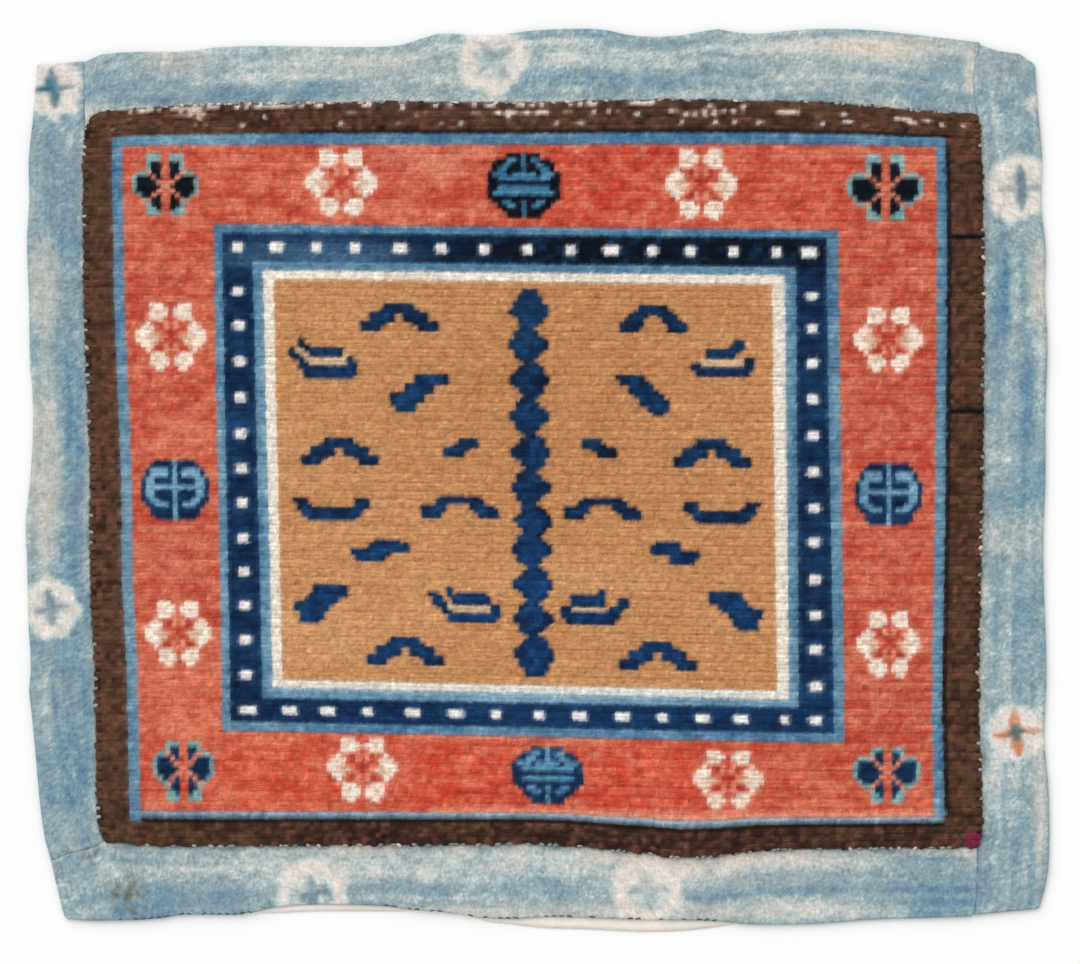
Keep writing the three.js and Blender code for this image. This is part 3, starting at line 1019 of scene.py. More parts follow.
beneath = len(points) - len(line_of_point)
line_layer.data.foreach_set("value", np.pad(line_of_point, (0, beneath), mode="edge"))
print("pile triangles", sum(len(f) - 2 for f in faces))

# %% [markdown]
# ## Fine grain for every textile
#
# Under the pattern, each textile has a grain of fibres. One node group gives it to all of
# the materials: a fine noise and a coarser one, mixed into a tone near one and a height
# for the bump. Each material passes in its own scale and strength.

# %% A shader group for the grain
def new_group(name, inputs, outputs):
    """A shader node group with these float or vector sockets, and its two end nodes."""
    group = bpy.data.node_groups.new(name, "ShaderNodeTree")
    for socket, kind in inputs.items():
        group.interface.new_socket(socket, in_out="INPUT", socket_type=kind)
    for socket, kind in outputs.items():
        group.interface.new_socket(socket, in_out="OUTPUT", socket_type=kind)
    return group, group.nodes.new("NodeGroupInput"), group.nodes.new("NodeGroupOutput")


def math_node(tree, operation, first, second):
    """A Math node: each side is a socket or a plain number."""
    node = tree.nodes.new("ShaderNodeMath")
    node.operation = operation
    for socket, value in zip(node.inputs, (first, second)):
        if isinstance(value, (int, float)):
            socket.default_value = value
        else:
            tree.links.new(value, socket)
    return node.outputs[0]


def noise_node(tree, vector, scale, detail):
    node = tree.nodes.new("ShaderNodeTexNoise")
    node.inputs["Detail"].default_value = detail
    tree.links.new(vector, node.inputs["Vector"])
    if isinstance(scale, (int, float)):
        node.inputs["Scale"].default_value = scale
    else:
        tree.links.new(scale, node.inputs["Scale"])
    return node.outputs["Fac"]


FLOAT, VECTOR = "NodeSocketFloat", "NodeSocketVector"
grain, grain_in, grain_out = new_group(
    "fibre grain",
    {"Vector": VECTOR, "Scale": FLOAT, "Strength": FLOAT},
    {"Tone": FLOAT, "Height": FLOAT},
)
fine = noise_node(grain, grain_in.outputs["Vector"], grain_in.outputs["Scale"], 3.0)
coarse_scale = math_node(grain, "MULTIPLY", grain_in.outputs["Scale"], 0.3)
coarse = noise_node(grain, grain_in.outputs["Vector"], coarse_scale, 2.0)
both = math_node(grain, "MULTIPLY", math_node(grain, "ADD", fine, coarse), 0.5)
uneven = math_node(grain, "SUBTRACT", both, 0.5)
lift = math_node(grain, "MULTIPLY", uneven, grain_in.outputs["Strength"])
grain.links.new(math_node(grain, "ADD", lift, 1.0), grain_out.inputs["Tone"])
grain.links.new(both, grain_out.inputs["Height"])
print("group", grain.name, "nodes", len(grain.nodes))

# %% [markdown]
# ## Drawn-out noise
#
# Combed pile and washed cloth both show short dashes rather than round specks. A noise
# whose scale is smaller along one direction gives such dashes. The group is built once:
# the pile uses it along its rows, and the cloth along each of its two sets of threads.

# %% A shader group for dashes
dash_group, dash_in, dash_out = new_group(
    "drawn-out noise",
    {"Vector": VECTOR, "Scale along": FLOAT, "Scale across": FLOAT, "Strength": FLOAT},
    {"Tone": FLOAT, "Height": FLOAT},
)
scales = dash_group.nodes.new("ShaderNodeCombineXYZ")
stretched = dash_group.nodes.new("ShaderNodeVectorMath")
stretched.operation = "MULTIPLY"
for axis, name in (("X", "Scale along"), ("Y", "Scale across")):
    dash_group.links.new(dash_in.outputs[name], scales.inputs[axis])
dash_group.links.new(dash_in.outputs["Vector"], stretched.inputs[0])
dash_group.links.new(scales.outputs[0], stretched.inputs[1])
dashes = noise_node(dash_group, stretched.outputs[0], 1.0, 2.0)
uneven = math_node(dash_group, "SUBTRACT", dashes, 0.5)
lift = math_node(dash_group, "MULTIPLY", uneven, dash_in.outputs["Strength"])
dash_group.links.new(math_node(dash_group, "ADD", lift, 1.0), dash_out.inputs["Tone"])
dash_group.links.new(dashes, dash_out.inputs["Height"])
print("group", dash_group.name, "nodes", len(dash_group.nodes))

# %% [markdown]
# ## The wool of the pile
#
# The colour of every knot is already kept in the mesh, so the material only reads it and
# lays the grain of the cut fibres over it, with fine dashes along the rows. A thin shade
# parts the two halves of each row, where the loop was cut: it comes from the line number
# kept in the mesh. Cut wool is matt, with a faint sheen where the light grazes it.

# %% Build the wool material
def new_material(name, roughness, sheen, gloss=0.2):
    """A material with one Principled shader, its tree and the shader."""
    material = bpy.data.materials.new(name)
    material.use_nodes = True
    shader = material.node_tree.nodes["Principled BSDF"]
    shader.inputs["Roughness"].default_value = roughness
    shader.inputs["Specular IOR Level"].default_value = gloss
    shader.inputs["Sheen Weight"].default_value = sheen
    shader.inputs["Sheen Roughness"].default_value = 0.5
    return material, material.node_tree, shader


def group_node(tree, group, **values):
    """Places a group and sets its inputs, each a socket or a number."""
    node = tree.nodes.new("ShaderNodeGroup")
    node.node_tree = group
    for name, value in values.items():
        if isinstance(value, (int, float)):
            node.inputs[name].default_value = value
        else:
            tree.links.new(value, node.inputs[name])
    return node


def toned(tree, colour, tone):
    """The colour times a grey tone."""
    node = tree.nodes.new("ShaderNodeVectorMath")
    node.operation = "SCALE"
    tree.links.new(colour, node.inputs[0])
    tree.links.new(tone, node.inputs["Scale"])
    return node.outputs[0]


def bumped(tree, shader, height, distance, strength):
    node = tree.nodes.new("ShaderNodeBump")
    node.inputs["Distance"].default_value = distance
    node.inputs["Strength"].default_value = strength
    tree.links.new(height, node.inputs["Height"])
    tree.links.new(node.outputs["Normal"], shader.inputs["Normal"])


def attribute_colour(tree, name):
    node = tree.nodes.new("ShaderNodeAttribute")
    node.attribute_name = name
    return node.outputs["Color"]


def object_place(tree):
    return tree.nodes.new("ShaderNodeTexCoord").outputs["Object"]


PARTING_SHADE, PARTING_DEPTH = 0.08, 0.3
wool_material, tree, shader = new_material(
    "cut wool pile", roughness=0.95, sheen=0.1, gloss=0.08,
)
place = object_place(tree)
fibres = group_node(tree, grain, Vector=place, Scale=800, Strength=1.3)
combed = group_node(tree, dash_group, Vector=place, Strength=0.9,
                    **{"Scale along": 130, "Scale across": 620})
line_number = tree.nodes.new("ShaderNodeAttribute")
line_number.attribute_name = "line"
turns = math_node(tree, "MULTIPLY", line_number.outputs["Fac"], 2 * math.pi)
raised = math_node(tree, "ADD", math_node(tree, "COSINE", turns, 0.0), 1.0)
parting = math_node(tree, "POWER", math_node(tree, "MULTIPLY", raised, 0.5), 3.0)
unparted = math_node(tree, "SUBTRACT", 1.0, math_node(tree, "MULTIPLY", parting, PARTING_SHADE))
tone = math_node(tree, "MULTIPLY", fibres.outputs["Tone"], combed.outputs["Tone"])
tone = math_node(tree, "MULTIPLY", tone, unparted)
tree.links.new(toned(tree, attribute_colour(tree, "wool"), tone), shader.inputs["Base Color"])
height = math_node(tree, "ADD", fibres.outputs["Height"], combed.outputs["Height"])
height = math_node(tree, "SUBTRACT", height, math_node(tree, "MULTIPLY", parting, PARTING_DEPTH))
bumped(tree, shader, height, distance=0.0006, strength=0.7)
knotted_pile.data.materials.append(wool_material)
print("material", wool_material.name)

# %% [markdown]
# ## The strips of the surround
#
# Each strip is a long sheet between four edges. A Coons patch fills such an outline: it
# mixes the two long edges, mixes the two short ones, and takes away what was counted twice.
# The long edges run along the weave, so the grid also gives the cloth its own directions.

# %% Fill an outline with a grid
def spaced(line, count):
    """Points at even distances along a line."""
    steps = np.concatenate([[0], np.cumsum(np.hypot(*np.diff(line, axis=0).T))])
    wanted = np.linspace(0, steps[-1], count)
    return np.column_stack([np.interp(wanted, steps, line[:, k]) for k in (0, 1)])


def patch(sides, down, over):
    """A Coons patch: down by over points inside a top, right, bottom and left side."""
    top_line, bottom_line = spaced(sides[0], over), spaced(sides[2][::-1], over)
    left_line, right_line = spaced(sides[3][::-1], down), spaced(sides[1], down)
    u = np.linspace(0, 1, over)[None, :, None]
    v = np.linspace(0, 1, down)[:, None, None]
    ruled_down = top_line[None] * (1 - v) + bottom_line[None] * v
    ruled_over = left_line[:, None] * (1 - u) + right_line[:, None] * u
    corners = ((top_line[0] * (1 - u) + top_line[-1] * u) * (1 - v)
               + (bottom_line[0] * (1 - u) + bottom_line[-1] * u) * v)
    return ruled_down + ruled_over - corners


CELL = 1.6
SEAM_REACH = 0.12


def cells(line):
    return max(8, int(np.hypot(*np.diff(line, axis=0).T).sum() / CELL))


strip_grids = {}
for place in ("left", "top", "right", "bottom"):
    sides = four_sides(grown(outline_of("surround_" + place), SEAM_REACH))
    strip_grids[place] = patch(sides, cells(sides[1]), cells(sides[0]))
    print(place, "strip", strip_grids[place].shape[:2], "points")

# %% [markdown]
# ## Tie-dye
#
# To make the rings, the dyer ties off small puffs of the cloth before it goes into the
# indigo. The tied ring stays cream, and a folded point in its middle takes the dye again
# as a cross. Here a number says how blue each point of the cloth is: even at first, then
# streaked along the cloth and washed paler beside the rug, with each ring wiped out and its
# cross put back.

# %% Tables of the dye
DYES = {
    "cream": "#e1d7cf", "pale": "#b9c7c7", "blue": "#91a8ae", "mid": "#7395a2", "deep": "#4c7d9b",
    "soil": "#c8beb1", "cross": "#457282", "rust": "#c47f56", "rusted": "#5a6a68",
    "stain": "#6d6458",
}
RINGS = table(
    "strip x y radius core arm turn cross level rust",
    ("left", -361.5, 291.5, 23, 0, 16, 8, 0.95, 1, False),
    ("top", -33.5, 312.5, 26, 0.38, 17, 38, 0.35, 1, False),
    ("left", -363.6, -95.7, 21.5, 0.1, 15, 12, 0.65, 1, False),
    ("right", 359.6, 217.6, 25, 0.05, 18, 4, 0.8, 0.7, False),
    ("bottom", -169.1, -309, 26, 0.95, 16, 6, 0.5, 1, False),
    ("bottom", 81.7, -305.8, 27, 0.3, 15, 8, 0.35, 1, False),
    ("right", 356.8, -188.7, 21, 0, 19, 6, 1, 1, True),
)
UPRIGHT_ARM, LEVEL_ARM, HUB = 5.2, 3.4, 4.8
BASE_DYE = {"left": 0.63, "top": 0.55, "right": 0.6, "bottom": 0.56}
DYE_ZONES = table(
    "x y wide high dye soil",
    (-30, 322, 330, 16, -0.16, 0.05), (-275, 287, 85, 11, 0.3, 0), (-130, 288, 120, 9, 0.14, 0),
    (120, 290, 170, 12, 0.14, 0), (280, 298, 35, 14, 0.1, 0), (262, 323, 60, 10, -0.26, 0.4),
    (322, 306, 6, 26, -0.3, 0.35), (215, 306, 70, 24, -0.2, 0.12), (-268, 312, 30, 12, -0.14, 0.35),
    (-140, 310, 70, 14, -0.1, 0.2), (350, 312, 24, 26, 0.04, 0.2), (-350, 200, 40, 60, 0.14, 0),
    (-368, 145, 13, 40, -0.22, 0.45), (-368, 10, 14, 90, -0.2, 0.5), (-345, 60, 7, 190, 0.22, 0),
    (-345, -215, 24, 80, 0.22, 0), (345, 120, 7, 70, 0.2, 0), (366, 60, 7, 40, 0.25, 0),
    (355, 120, 4, 70, -0.12, 0.1), (355, -110, 12, 50, 0.04, 0), (352, 140, 26, 45, 0.12, -0.1),
    (352, -45, 26, 18, -0.16, 0.2), (372, 280, 10, 9, -0.25, 0.4), (372, 145, 9, 36, -0.25, 0.5),
    (374, -240, 6, 70, -0.12, 0.4), (350, -235, 30, 35, -0.1, 0), (-120, -287, 190, 15, -0.2, 0.05),
    (130, -288, 120, 18, -0.25, 0.15), (-275, -309, 75, 13, 0.32, 0), (200, -302, 90, 12, 0.24, 0),
    (295, -302, 45, 26, 0.3, 0), (60, -322, 200, 8, -0.16, 0.35),
)
STAINS = table(
    "x y wide high share",
    (-308, -305, 17, 15, 0.8), (-333, -281, 9, 9, 0.6), (-300, -322, 12, 4, 0.9),
)
print("rings", len(RINGS), "zones", len(DYE_ZONES))

# %% Dye the cloth
RAMP = [("cream", 0.0), ("pale", 0.3), ("blue", 0.52), ("mid", 0.76), ("deep", 1.0)]
BLEED = table("wide high seed share", (9, 9, 41, 2.6), (3.4, 3.4, 42, 1.4))
TIED, TIED_EDGE = 0.94, 9
CORE_REACH, CORE_EDGE, CORE_BROKEN = 0.6, 7, 0.8
SHIFT_OVER, SHIFT_UP = 0.5, 0.4
HUB_EDGE, ARM_EDGE = 4, 4.5


def on_ramp(dye):
    """The colour of cloth that is this deeply dyed, from 0 to 1."""
    stations = [station for _, station in RAMP]
    bands = np.array([linear(DYES[name]) for name, _ in RAMP])
    return np.stack([np.interp(dye, stations, bands[:, k]) for k in range(3)], -1)


def ring_dye(ring, x, y, dye):
    """Wipes a tied ring out of the dye, dyes its middle again, and finds its cross."""
    bleed = clouds(x, y, BLEED)
    dx, dy = x - ring["x"] + bleed * SHIFT_OVER, y - ring["y"] - bleed * SHIFT_UP
    away = np.hypot(dx, dy)
    wiped = eased(np.clip((ring["radius"] - away - bleed) / TIED_EDGE + 0.5, 0, 1)) * TIED
    core = eased(np.clip((ring["radius"] * CORE_REACH - away) / CORE_EDGE + 0.5, 0, 1))
    core = core * ring["core"]
    wiped = wiped * (1 - np.clip(core * (1 + CORE_BROKEN * cloud(x, y, 6, 6, 43)), 0, 1))
    turn = math.radians(ring["turn"])
    level = np.abs(dx * math.cos(turn) + dy * math.sin(turn))
    upright = np.abs(dy * math.cos(turn) - dx * math.sin(turn))
    cross = eased(np.clip((HUB - away) / HUB_EDGE + 0.5, 0, 1))
    arms = ((level, upright, LEVEL_ARM, ring["level"]), (upright, level, UPRIGHT_ARM, 1))
    for length, width, widest, strength in arms:
        half_width = widest * np.sqrt(np.clip(1 - (length / ring["arm"]) ** 2, 0, 1))
        arm = strength * eased(np.clip((half_width - width) / ARM_EDGE + 0.4, 0, 1))
        arm = arm * (length < ring["arm"])
        cross = np.maximum(cross, arm)
    return dye * (1 - wiped), wiped, cross


STREAKS = table("wide high seed share", (60, 4.5, 0, 1), (140, 11, 10, 0.7))
MOTTLES = table("wide high seed share", (14, 14, 20, 1), (5, 5, 30, 0.8))
STREAK_DYE, MOTTLE_DYE, GRAIN_DYE = 0.17, 0.12, 0.1
SOIL, SOIL_VARIES, SOIL_TIED_OFF = 0.1, 0.08, 0.7
BESIDE_RUG, BESIDE_REACH = 0.36, 6
CROSS_MOTTLE = 0.25
RUST_FREE = 7
STAIN_EVEN, STAIN_BROKEN = 0.5, 0.9


def dyed(place, x, y, lengthwise, sideways, to_rug):
    """The colours of one strip, from its points, its weave and the way to the rug."""
    seed = 50 + list(BASE_DYE).index(place)
    streak = clouds(lengthwise, sideways, STREAKS, seed)
    mottle = clouds(x, y, MOTTLES, seed)
    grains = np.random.default_rng(seed + 50).normal(0, 1, x.shape)
    dye = BASE_DYE[place] + STREAK_DYE * streak + MOTTLE_DYE * mottle + GRAIN_DYE * grains
    soil = SOIL + SOIL_VARIES * cloud(x, y, 60, 30, seed + 40)
    for zone in DYE_ZONES:
        share = soft_spot(zone, x, y)
        dye = dye + share * zone["dye"]
        soil = soil + share * zone["soil"]
    washed = BESIDE_RUG * np.exp(-to_rug / BESIDE_REACH)
    dye = dye - washed * (1 + cloud(x, y, 16, 16, seed + 60))
    crosses = []
    for ring in RINGS:
        if ring["strip"] == place:
            dye, wiped, cross = ring_dye(ring, x, y, dye)
            soil = soil * (1 - SOIL_TIED_OFF * wiped)
            crosses.append((ring, cross))
    colours = mixed(on_ramp(np.clip(dye, 0, 1)), linear(DYES["soil"]), soil)
    for ring, cross in crosses:
        ink = linear(DYES["cross"])
        if ring["rust"]:
            from_middle = np.hypot(x - ring["x"], y - ring["y"])
            middle_only = eased(np.clip(1.4 - from_middle / RUST_FREE, 0, 1))
            ink = mixed(linear(DYES["rust"]), linear(DYES["rusted"]), middle_only)
        colours = mixed(colours, ink, cross * ring["cross"] * (1 + CROSS_MOTTLE * mottle))
    for stain in STAINS:
        broken = STAIN_EVEN + STAIN_BROKEN * cloud(x, y, 3.2, 3.2, 90)
        share = soft_spot(stain, x, y) * stain["share"] * broken
        colours = mixed(colours, linear(DYES["stain"]), share)
    return colours


print("blue of the cloth", on_ramp(np.array([0.5])).round(3).tolist())

# %% [markdown]
# ## The strips as sheets
#
# Each strip is 2 mm thick. Sewing draws it into small puckers beside the rug, the outer
# edge is turned in as a hem, and old cloth never lies quite flat. The top surface takes
# these few tenths of a millimetre, and the underside stays flat on the back.

# %% Build the strips
CLOTH_FOOT, CLOTH_TOP = 1.3, 3.3
PUCKER, WAVE, HEM = 0.35, 0.25, 0.35
HEM_WIDTH, HEM_STEP, HEM_CREASE = 6.5, 1.5, 0.5
PUCKER_REACH, BEND = 9, 0.9
EDGE_ROUND, SEAM_ROUND = 0.4, 0.3
OUTER_SIDE = {"left": 3, "top": 0, "right": 1, "bottom": 2}
SEWN_SIDE = {"left": 1, "top": 2, "right": 3, "bottom": 0}


def distance_to(line, x, y):
    """How far each point is from a line, in mm."""
    nearest = np.full(x.shape, np.inf)
    for px, py in spaced(line, cells(line)):
        nearest = np.minimum(nearest, np.hypot(x - px, y - py))
    return nearest


def strip_height(place, sides, x, y, lengthwise):
    """The height of a strip's upper surface."""
    hem = distance_to(sides[OUTER_SIDE[place]], x, y)
    sewn = distance_to(sides[SEWN_SIDE[place]], x, y)
    rim = np.min([distance_to(side, x, y) for side in sides], axis=0)
    z = CLOTH_TOP + WAVE * cloud(x, y, 35, 22, 61)
    z += PUCKER * cloud(lengthwise, sewn, 6, 40, 62) * np.exp(-sewn / PUCKER_REACH)
    z += HEM * eased(np.clip((HEM_WIDTH - hem) / HEM_STEP + 0.5, 0, 1))
    z -= HEM_CREASE * np.exp(-((hem - HEM_WIDTH) / BEND) ** 2)
    return z - EDGE_ROUND * np.exp(-hem / BEND) - SEAM_ROUND * np.exp(-rim / BEND)


def directions(place, grid):
    """Distances along and across a strip's weave, in mm, for each point of its grid."""
    steps_over = np.hypot(*np.moveaxis(np.diff(grid, axis=1), -1, 0))
    steps_down = np.hypot(*np.moveaxis(np.diff(grid, axis=0), -1, 0))
    over_mm = np.pad(np.cumsum(steps_over, axis=1), ((0, 0), (1, 0)))
    down_mm = np.pad(np.cumsum(steps_down, axis=0), ((1, 0), (0, 0)))
    upright = place in ("left", "right")
    return (down_mm, over_mm) if upright else (over_mm, down_mm)


def closed_sheet(name, x, y, upper_z, lower_z):
    """Two grids, one above the other, joined round their rim."""
    down, over = x.shape
    upper = np.stack([x, y, upper_z], -1).reshape(-1, 3)
    lower = np.stack([x, y, np.full(x.shape, lower_z)], -1).reshape(-1, 3)
    rim = rim_of(down, over)
    faces = grid_faces(down, over)
    faces += [face[::-1] for face in grid_faces(down, over, len(upper))]
    faces += wall_faces(rim, rim + len(upper))
    return new_piece(name, np.vstack([upper, lower]), faces)


def keep_directions(piece, lengthwise, sideways):
    """Stores the weave's directions as a UV map, in metres, for both faces of a sheet."""
    flat = np.column_stack([lengthwise.ravel(), sideways.ravel()]) * MM
    both = np.vstack([flat, flat])
    corner_of = np.zeros(len(piece.data.loops), np.int32)
    piece.data.loops.foreach_get("vertex_index", corner_of)
    piece.data.uv_layers.new(name="weave").data.foreach_set("uv", both[corner_of].ravel())


strips = {}
for place, grid in strip_grids.items():
    x, y = grid[..., 0], grid[..., 1]
    sides = four_sides(outline_of("surround_" + place))
    lengthwise, sideways = directions(place, grid)
    z = strip_height(place, sides, x, y, lengthwise)
    strips[place] = closed_sheet("cloth_" + place, x, y, z, CLOTH_FOOT)
    keep_directions(strips[place], lengthwise, sideways)
    to_rug = distance_to(RUG_OUTLINE, x, y)
    colours = dyed(place, x, y, lengthwise, sideways, to_rug).reshape(-1, 3)
    paint(strips[place], "dye", np.vstack([colours, colours]))
    print(place, "strip", 2 * len(strips[place].data.polygons), "triangles")

# %% [markdown]
# ## Woven cloth
#
# A plain weave passes each thread over one and under the next. In soft hand-spun wool that
# has been washed for years, the threads felt together and only short dashes of them still
# show, some running along the cloth and some across. So the cloth takes the drawn-out
# noise twice, once along each set of threads, on the directions kept in its UV map.

# %% Build the cloth material
DASH_LENGTH = 3.0


def cloth_material(name, attribute, threads, weave_tone, grain_tone, bump):
    """Woven cloth: its kept colour, the dashes of its threads and the grain of its yarn."""
    material, tree, shader = new_material(name, roughness=0.95, sheen=0.15)
    weave_map = tree.nodes.new("ShaderNodeUVMap")
    weave_map.uv_map = "weave"
    yarn = group_node(tree, grain, Vector=object_place(tree), Scale=500, Strength=grain_tone)
    tone, height = yarn.outputs["Tone"], yarn.outputs["Height"]
    drawn_out = threads / DASH_LENGTH
    for along_scale, across_scale in ((drawn_out, threads), (threads, drawn_out)):
        one_way = group_node(tree, dash_group, Vector=weave_map.outputs[0], Strength=weave_tone,
                             **{"Scale along": along_scale, "Scale across": across_scale})
        tone = math_node(tree, "MULTIPLY", tone, one_way.outputs["Tone"])
        height = math_node(tree, "ADD", height, one_way.outputs["Height"])
    colour = toned(tree, attribute_colour(tree, attribute), tone)
    tree.links.new(colour, shader.inputs["Base Color"])
    bumped(tree, shader, height, distance=bump, strength=0.8)
    return material


dyed_cloth = cloth_material(
    "tie-dyed wool", "dye", threads=400.0, weave_tone=0.55, grain_tone=1.1, bump=0.0004,
)
for strip in strips.values():
    strip.data.materials.append(dyed_cloth)
print("material", dyed_cloth.name)

# %% [markdown]
# ## The cotton back
#
# The back is one flat sheet of unbleached cotton. Only a sliver of it shows, where it has
# slipped out under the bottom strip, but the whole sheet is there, as on the real mat.

# %% Build the back
BACK_CELL = 4.0
BACK_DOWN, BACK_OVER = 660, 750
BACK_SINK, BACK_WAVE = 0.15, 0.12
BACK_TOP, BACK_FOOT = 1.0, 0.0
back_sides = four_sides(outline_of("cotton_back"))
back_grid = patch(back_sides, int(BACK_DOWN / BACK_CELL), int(BACK_OVER / BACK_CELL))
back_x, back_y = back_grid[..., 0], back_grid[..., 1]
back_z = BACK_TOP - BACK_SINK + BACK_WAVE * cloud(back_x, back_y, 25, 12, 71)
cotton = closed_sheet("back_cloth", back_x, back_y, back_z, BACK_FOOT)
keep_directions(cotton, *directions("top", back_grid))
yellowing = 0.5 + 0.5 * cloud(back_x, back_y, 60, 40, 72)
cotton_colour = mixed(linear("#f6f0ea"), linear("#efe6dc"), yellowing).reshape(-1, 3)
paint(cotton, "dye", np.vstack([cotton_colour, cotton_colour]))
unbleached = cloth_material(
    "unbleached cotton", "dye", threads=900.0, weave_tone=0.15, grain_tone=0.3, bump=0.0002,
)
cotton.data.materials.append(unbleached)
print("back", cotton.dimensions.x, cotton.dimensions.y)

# %% [markdown]
# ## The sewing
#
# Loops of ivory and washed-out thread show here and there between the tufts, where the
# rug's foundation was sewn to the cloth. Two lengths of the bottom hem are overcast with
# dark thread, which is partly real stitching and partly painted shadow along the hem's edge.
# Each stitch is the same small bent tube, so it is modelled once, by cutting a ring in half,
# and laid as copies in one mesh.

# %% Model one loop of thread
def half_ring(radius, thread):
    """A half ring of thread as points and faces, standing on its two ends."""
    bpy.ops.object.select_all(action="DESELECT")
    bpy.ops.mesh.primitive_torus_add(
        major_radius=radius * MM, minor_radius=thread * MM, major_segments=12, minor_segments=5,
        rotation=(math.pi / 2, 0, 0),
    )
    ring = bpy.context.object
    bpy.ops.object.transform_apply(location=True, rotation=True, scale=True)
    bpy.ops.object.mode_set(mode="EDIT")
    bpy.ops.mesh.select_all(action="SELECT")
    bpy.ops.mesh.bisect(plane_co=(0, 0, 0), plane_no=(0, 0, 1), clear_inner=True, use_fill=True)
    bpy.ops.object.mode_set(mode="OBJECT")
    points = np.array([v.co for v in ring.data.vertices]) / MM
    faces = [list(p.vertices) for p in ring.data.polygons]
    bpy.data.objects.remove(ring)
    return points, faces


LOOP_POINTS, LOOP_FACES = half_ring(1.0, 1.2)
STITCH_POINTS, STITCH_FACES = half_ring(1.4, 0.55)
print("one loop has", len(LOOP_FACES), "faces")

# %% Lay the stitches
def laid(name, pattern, places, material):
    """One mesh of many stitches: x, y, z in mm, a turn in radians, a size and a colour each."""
    pattern_points, pattern_faces = pattern
    points, faces = [], []
    for x, y, z, turn, size, _ in places:
        first = len(points) * len(pattern_points)
        c, s = math.cos(turn), math.sin(turn)
        px, py, pz = (pattern_points * size).T
        points.append(np.column_stack([x + px * c - py * s, y + px * s + py * c, z + pz * 0.7]))
        faces += [[first + i for i in face] for face in pattern_faces]
    piece = new_piece(name, np.vstack(points), faces)
    paint(piece, "thread", np.repeat([place[-1] for place in places], len(pattern_points), axis=0))
    piece.data.materials.append(material)
    return piece


def thread_material(name):
    material, tree, shader = new_material(name, roughness=0.9, sheen=0.1)
    twist = group_node(tree, grain, Vector=object_place(tree), Scale=700, Strength=0.8)
    colour = toned(tree, attribute_colour(tree, "thread"), twist.outputs["Tone"])
    tree.links.new(colour, shader.inputs["Base Color"])
    bumped(tree, shader, twist.outputs["Height"], distance=0.0004, strength=0.6)
    return material


sewing_thread = thread_material("sewing thread")
IVORY_THREAD, WASHED_THREAD = linear("#e8dccf"), linear("#a5b0b0")
LOOP_RUNS = table(
    "side from to share ivory",
    ("right", 2, 40, 0.25, 0.1), ("right", 40, 68, 0.6, 0.4), ("right", 68, 82, 0.35, 0.2),
    ("left", 4, 18, 0.3, 0.2), ("left", 18, 82, 0.25, 0.05),
)
END_RUNS = table(
    "side from to share ivory",
    ("top", 11, 56, 0.45, 0.7), ("top", 56, 121, 0.3, 0.4), ("top", 121, 184, 0.3, 0.2),
    ("bottom", 8, 184, 0.35, 0.15),
)
LOOP_HEIGHT = 6.7
LOOP_OUT = 0.7
SIDE_LOOP = {"waver": 0.12, "out": (-0.6, 1.2), "turn": 0.4, "size": (0.9, 1.25)}
END_LOOP = {"waver": 0.2, "out": (-0.6, 0.9), "turn": 0.5, "size": (0.8, 1.3)}
THREAD_TONES = (0.5, 0.85)


def loop_colour(ivory_share):
    """Ivory or washed-out blue, and never quite the same twice."""
    thread = IVORY_THREAD if dice.random() < ivory_share else WASHED_THREAD
    return thread * dice.uniform(*THREAD_TONES)


def one_loop(x, y, kind, ivory_share):
    """A loop's place, turn, size and colour, as laid() takes them."""
    return (float(x), float(y), LOOP_HEIGHT, dice.normal(0, kind["turn"]),
            dice.uniform(*kind["size"]), loop_colour(ivory_share))


loop_places = []
for run in LOOP_RUNS:
    column = COLUMNS if run["side"] == "right" else 0
    for row in range(run["from"], run["to"]):
        if dice.random() < run["share"]:
            x, y = knot_place(column, row + dice.normal(0, SIDE_LOOP["waver"]))
            x = x + math.copysign(LOOP_OUT, column - 1) * dice.uniform(*SIDE_LOOP["out"])
            loop_places.append(one_loop(x, y, SIDE_LOOP, run["ivory"]))
for run in END_RUNS:
    row = 0 if run["side"] == "top" else ROWS
    for column in range(run["from"], run["to"]):
        if dice.random() < run["share"]:
            x, y = knot_place(column + dice.normal(0, END_LOOP["waver"]), row)
            y = y - math.copysign(LOOP_OUT, row - 1) * dice.uniform(*END_LOOP["out"])
            loop_places.append(one_loop(x, y, END_LOOP, run["ivory"]))
sewing_loops = laid("sewing_loops", (LOOP_POINTS, LOOP_FACES), loop_places, sewing_thread)
print("loops", len(loop_places))

# %% Overcast the hem
# The dark thread along the hem is partly real overcasting and partly painted shadow: it darkens the
# line under the hem's edge.
HEM_THREAD_AND_SHADOW = linear("#525f66")
OVERCAST_PITCH, OVERCAST_IN, OVERCAST_DOWN = 5.6, 0.6, 0.3
OVERCAST_TURN, OVERCAST_VARIES = 0.25, (0.8, 1.2)
OVERCAST = table("from to share", (-313, -210, 0.75), (-120, 135, 0.5))
hem_side = four_sides(outline_of("surround_bottom"))[OUTER_SIDE["bottom"]]
hem_line = spaced(hem_side, int(cells(hem_side) * CELL / OVERCAST_PITCH))
hem_heading = np.gradient(hem_line, axis=0)
hem_places = []
for run in OVERCAST:
    for (x, y), (hx, hy) in zip(hem_line, hem_heading):
        if run["from"] < x < run["to"] and dice.random() < run["share"]:
            turn = math.atan2(hy, hx) + dice.normal(0, OVERCAST_TURN)
            inwards = np.array([hy, -hx]) / math.hypot(hx, hy) * OVERCAST_IN
            size = dice.uniform(*OVERCAST_VARIES)
            thread = HEM_THREAD_AND_SHADOW * dice.uniform(*OVERCAST_VARIES)
            hem_places.append((x + inwards[0], y + inwards[1], CLOTH_TOP - OVERCAST_DOWN, turn,
                               size, thread))
hem_stitches = laid("hem_stitches", (STITCH_POINTS, STITCH_FACES), hem_places, sewing_thread)
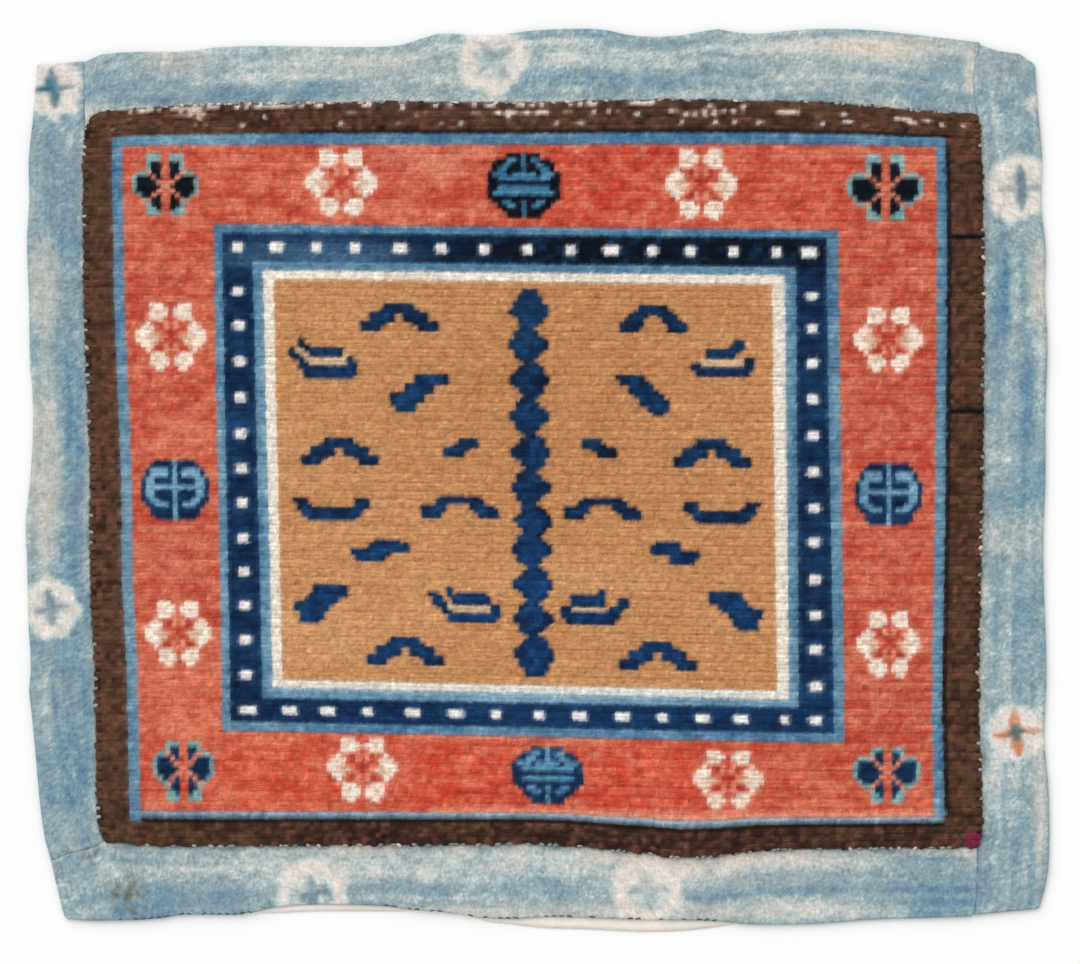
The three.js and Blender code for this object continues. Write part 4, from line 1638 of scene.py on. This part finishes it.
print("hem stitches", len(hem_places))

# %% [markdown]
# ## Camera, floor and light
#
# The picture was taken from straight above with a long lens, so the camera hangs high over
# the mat and its view is as wide as the picture. A broad, soft key from the upper left lets
# the rows of the pile show, and an even sky keeps the shadows pale.

# %% Hang the camera
PICTURE_WIDTH = 804.6
PICTURE_MIDDLE = (1.5, -1.9)
CAMERA_HEIGHT = 6000.0
LENS_PLANE = 6.0
camera_data = bpy.data.cameras.new("camera above")
camera_data.sensor_width = 36
camera_data.lens = camera_data.sensor_width * (CAMERA_HEIGHT - LENS_PLANE) / PICTURE_WIDTH
camera_data.clip_end = 50
camera = bpy.data.objects.new("camera above", camera_data)
camera.location = (PICTURE_MIDDLE[0] * MM, PICTURE_MIDDLE[1] * MM, CAMERA_HEIGHT * MM)
bpy.context.scene.collection.objects.link(camera)
bpy.context.scene.camera = camera
print("lens", round(camera_data.lens), "mm")

# %% Lay the floor and set the light
bpy.ops.object.select_all(action="DESELECT")
FLOOR_SIZE, FLOOR_DROP, FLOOR_TONE = 12, 0.0003, 0.955
bpy.ops.mesh.primitive_plane_add(size=FLOOR_SIZE, location=(0, 0, -FLOOR_DROP))
floor = bpy.context.object
floor.name = "pale_floor"
floor_material, tree, shader = new_material("pale floor", roughness=0.9, sheen=0.0)
shader.inputs["Base Color"].default_value = (FLOOR_TONE, FLOOR_TONE, FLOOR_TONE, 1)
floor.data.materials.append(floor_material)

SKY = 0.69
key_data = bpy.data.lights.new("soft key", "SUN")
key_data.energy = 1.6
key_data.angle = math.radians(70)
key = bpy.data.objects.new("soft key", key_data)
key.rotation_euler = (math.radians(-38), math.radians(-30), 0)
bpy.context.scene.collection.objects.link(key)
world = bpy.data.worlds.new("even sky")
world.use_nodes = True
background = world.node_tree.nodes["Background"]
background.inputs["Color"].default_value = (1, 1, 1, 1)
background.inputs["Strength"].default_value = SKY
bpy.context.scene.world = world
print("key", round(key_data.energy, 2), "sky", SKY)

# %% [markdown]
# ## Handing the pieces over
#
# Every piece rides on the one body of the mat, and each sheet stands for its solid, which
# is hidden.

# %% Ride and hide the solids
def declare(piece, node):
    """Hangs a sheet on the mat's body and hides the solid that it stands for."""
    outline = outline_of(node)
    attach(piece, "root")
    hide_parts(node)


for stitches, slot in ((sewing_loops, "wool_pile"), (hem_stitches, "tie_dyed_cloth")):
    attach(stitches, "root")
declare(knotted_pile, "pile_rug")
declare(cotton, "cotton_back")
for place, strip in strips.items():
    declare(strip, "surround_" + place)
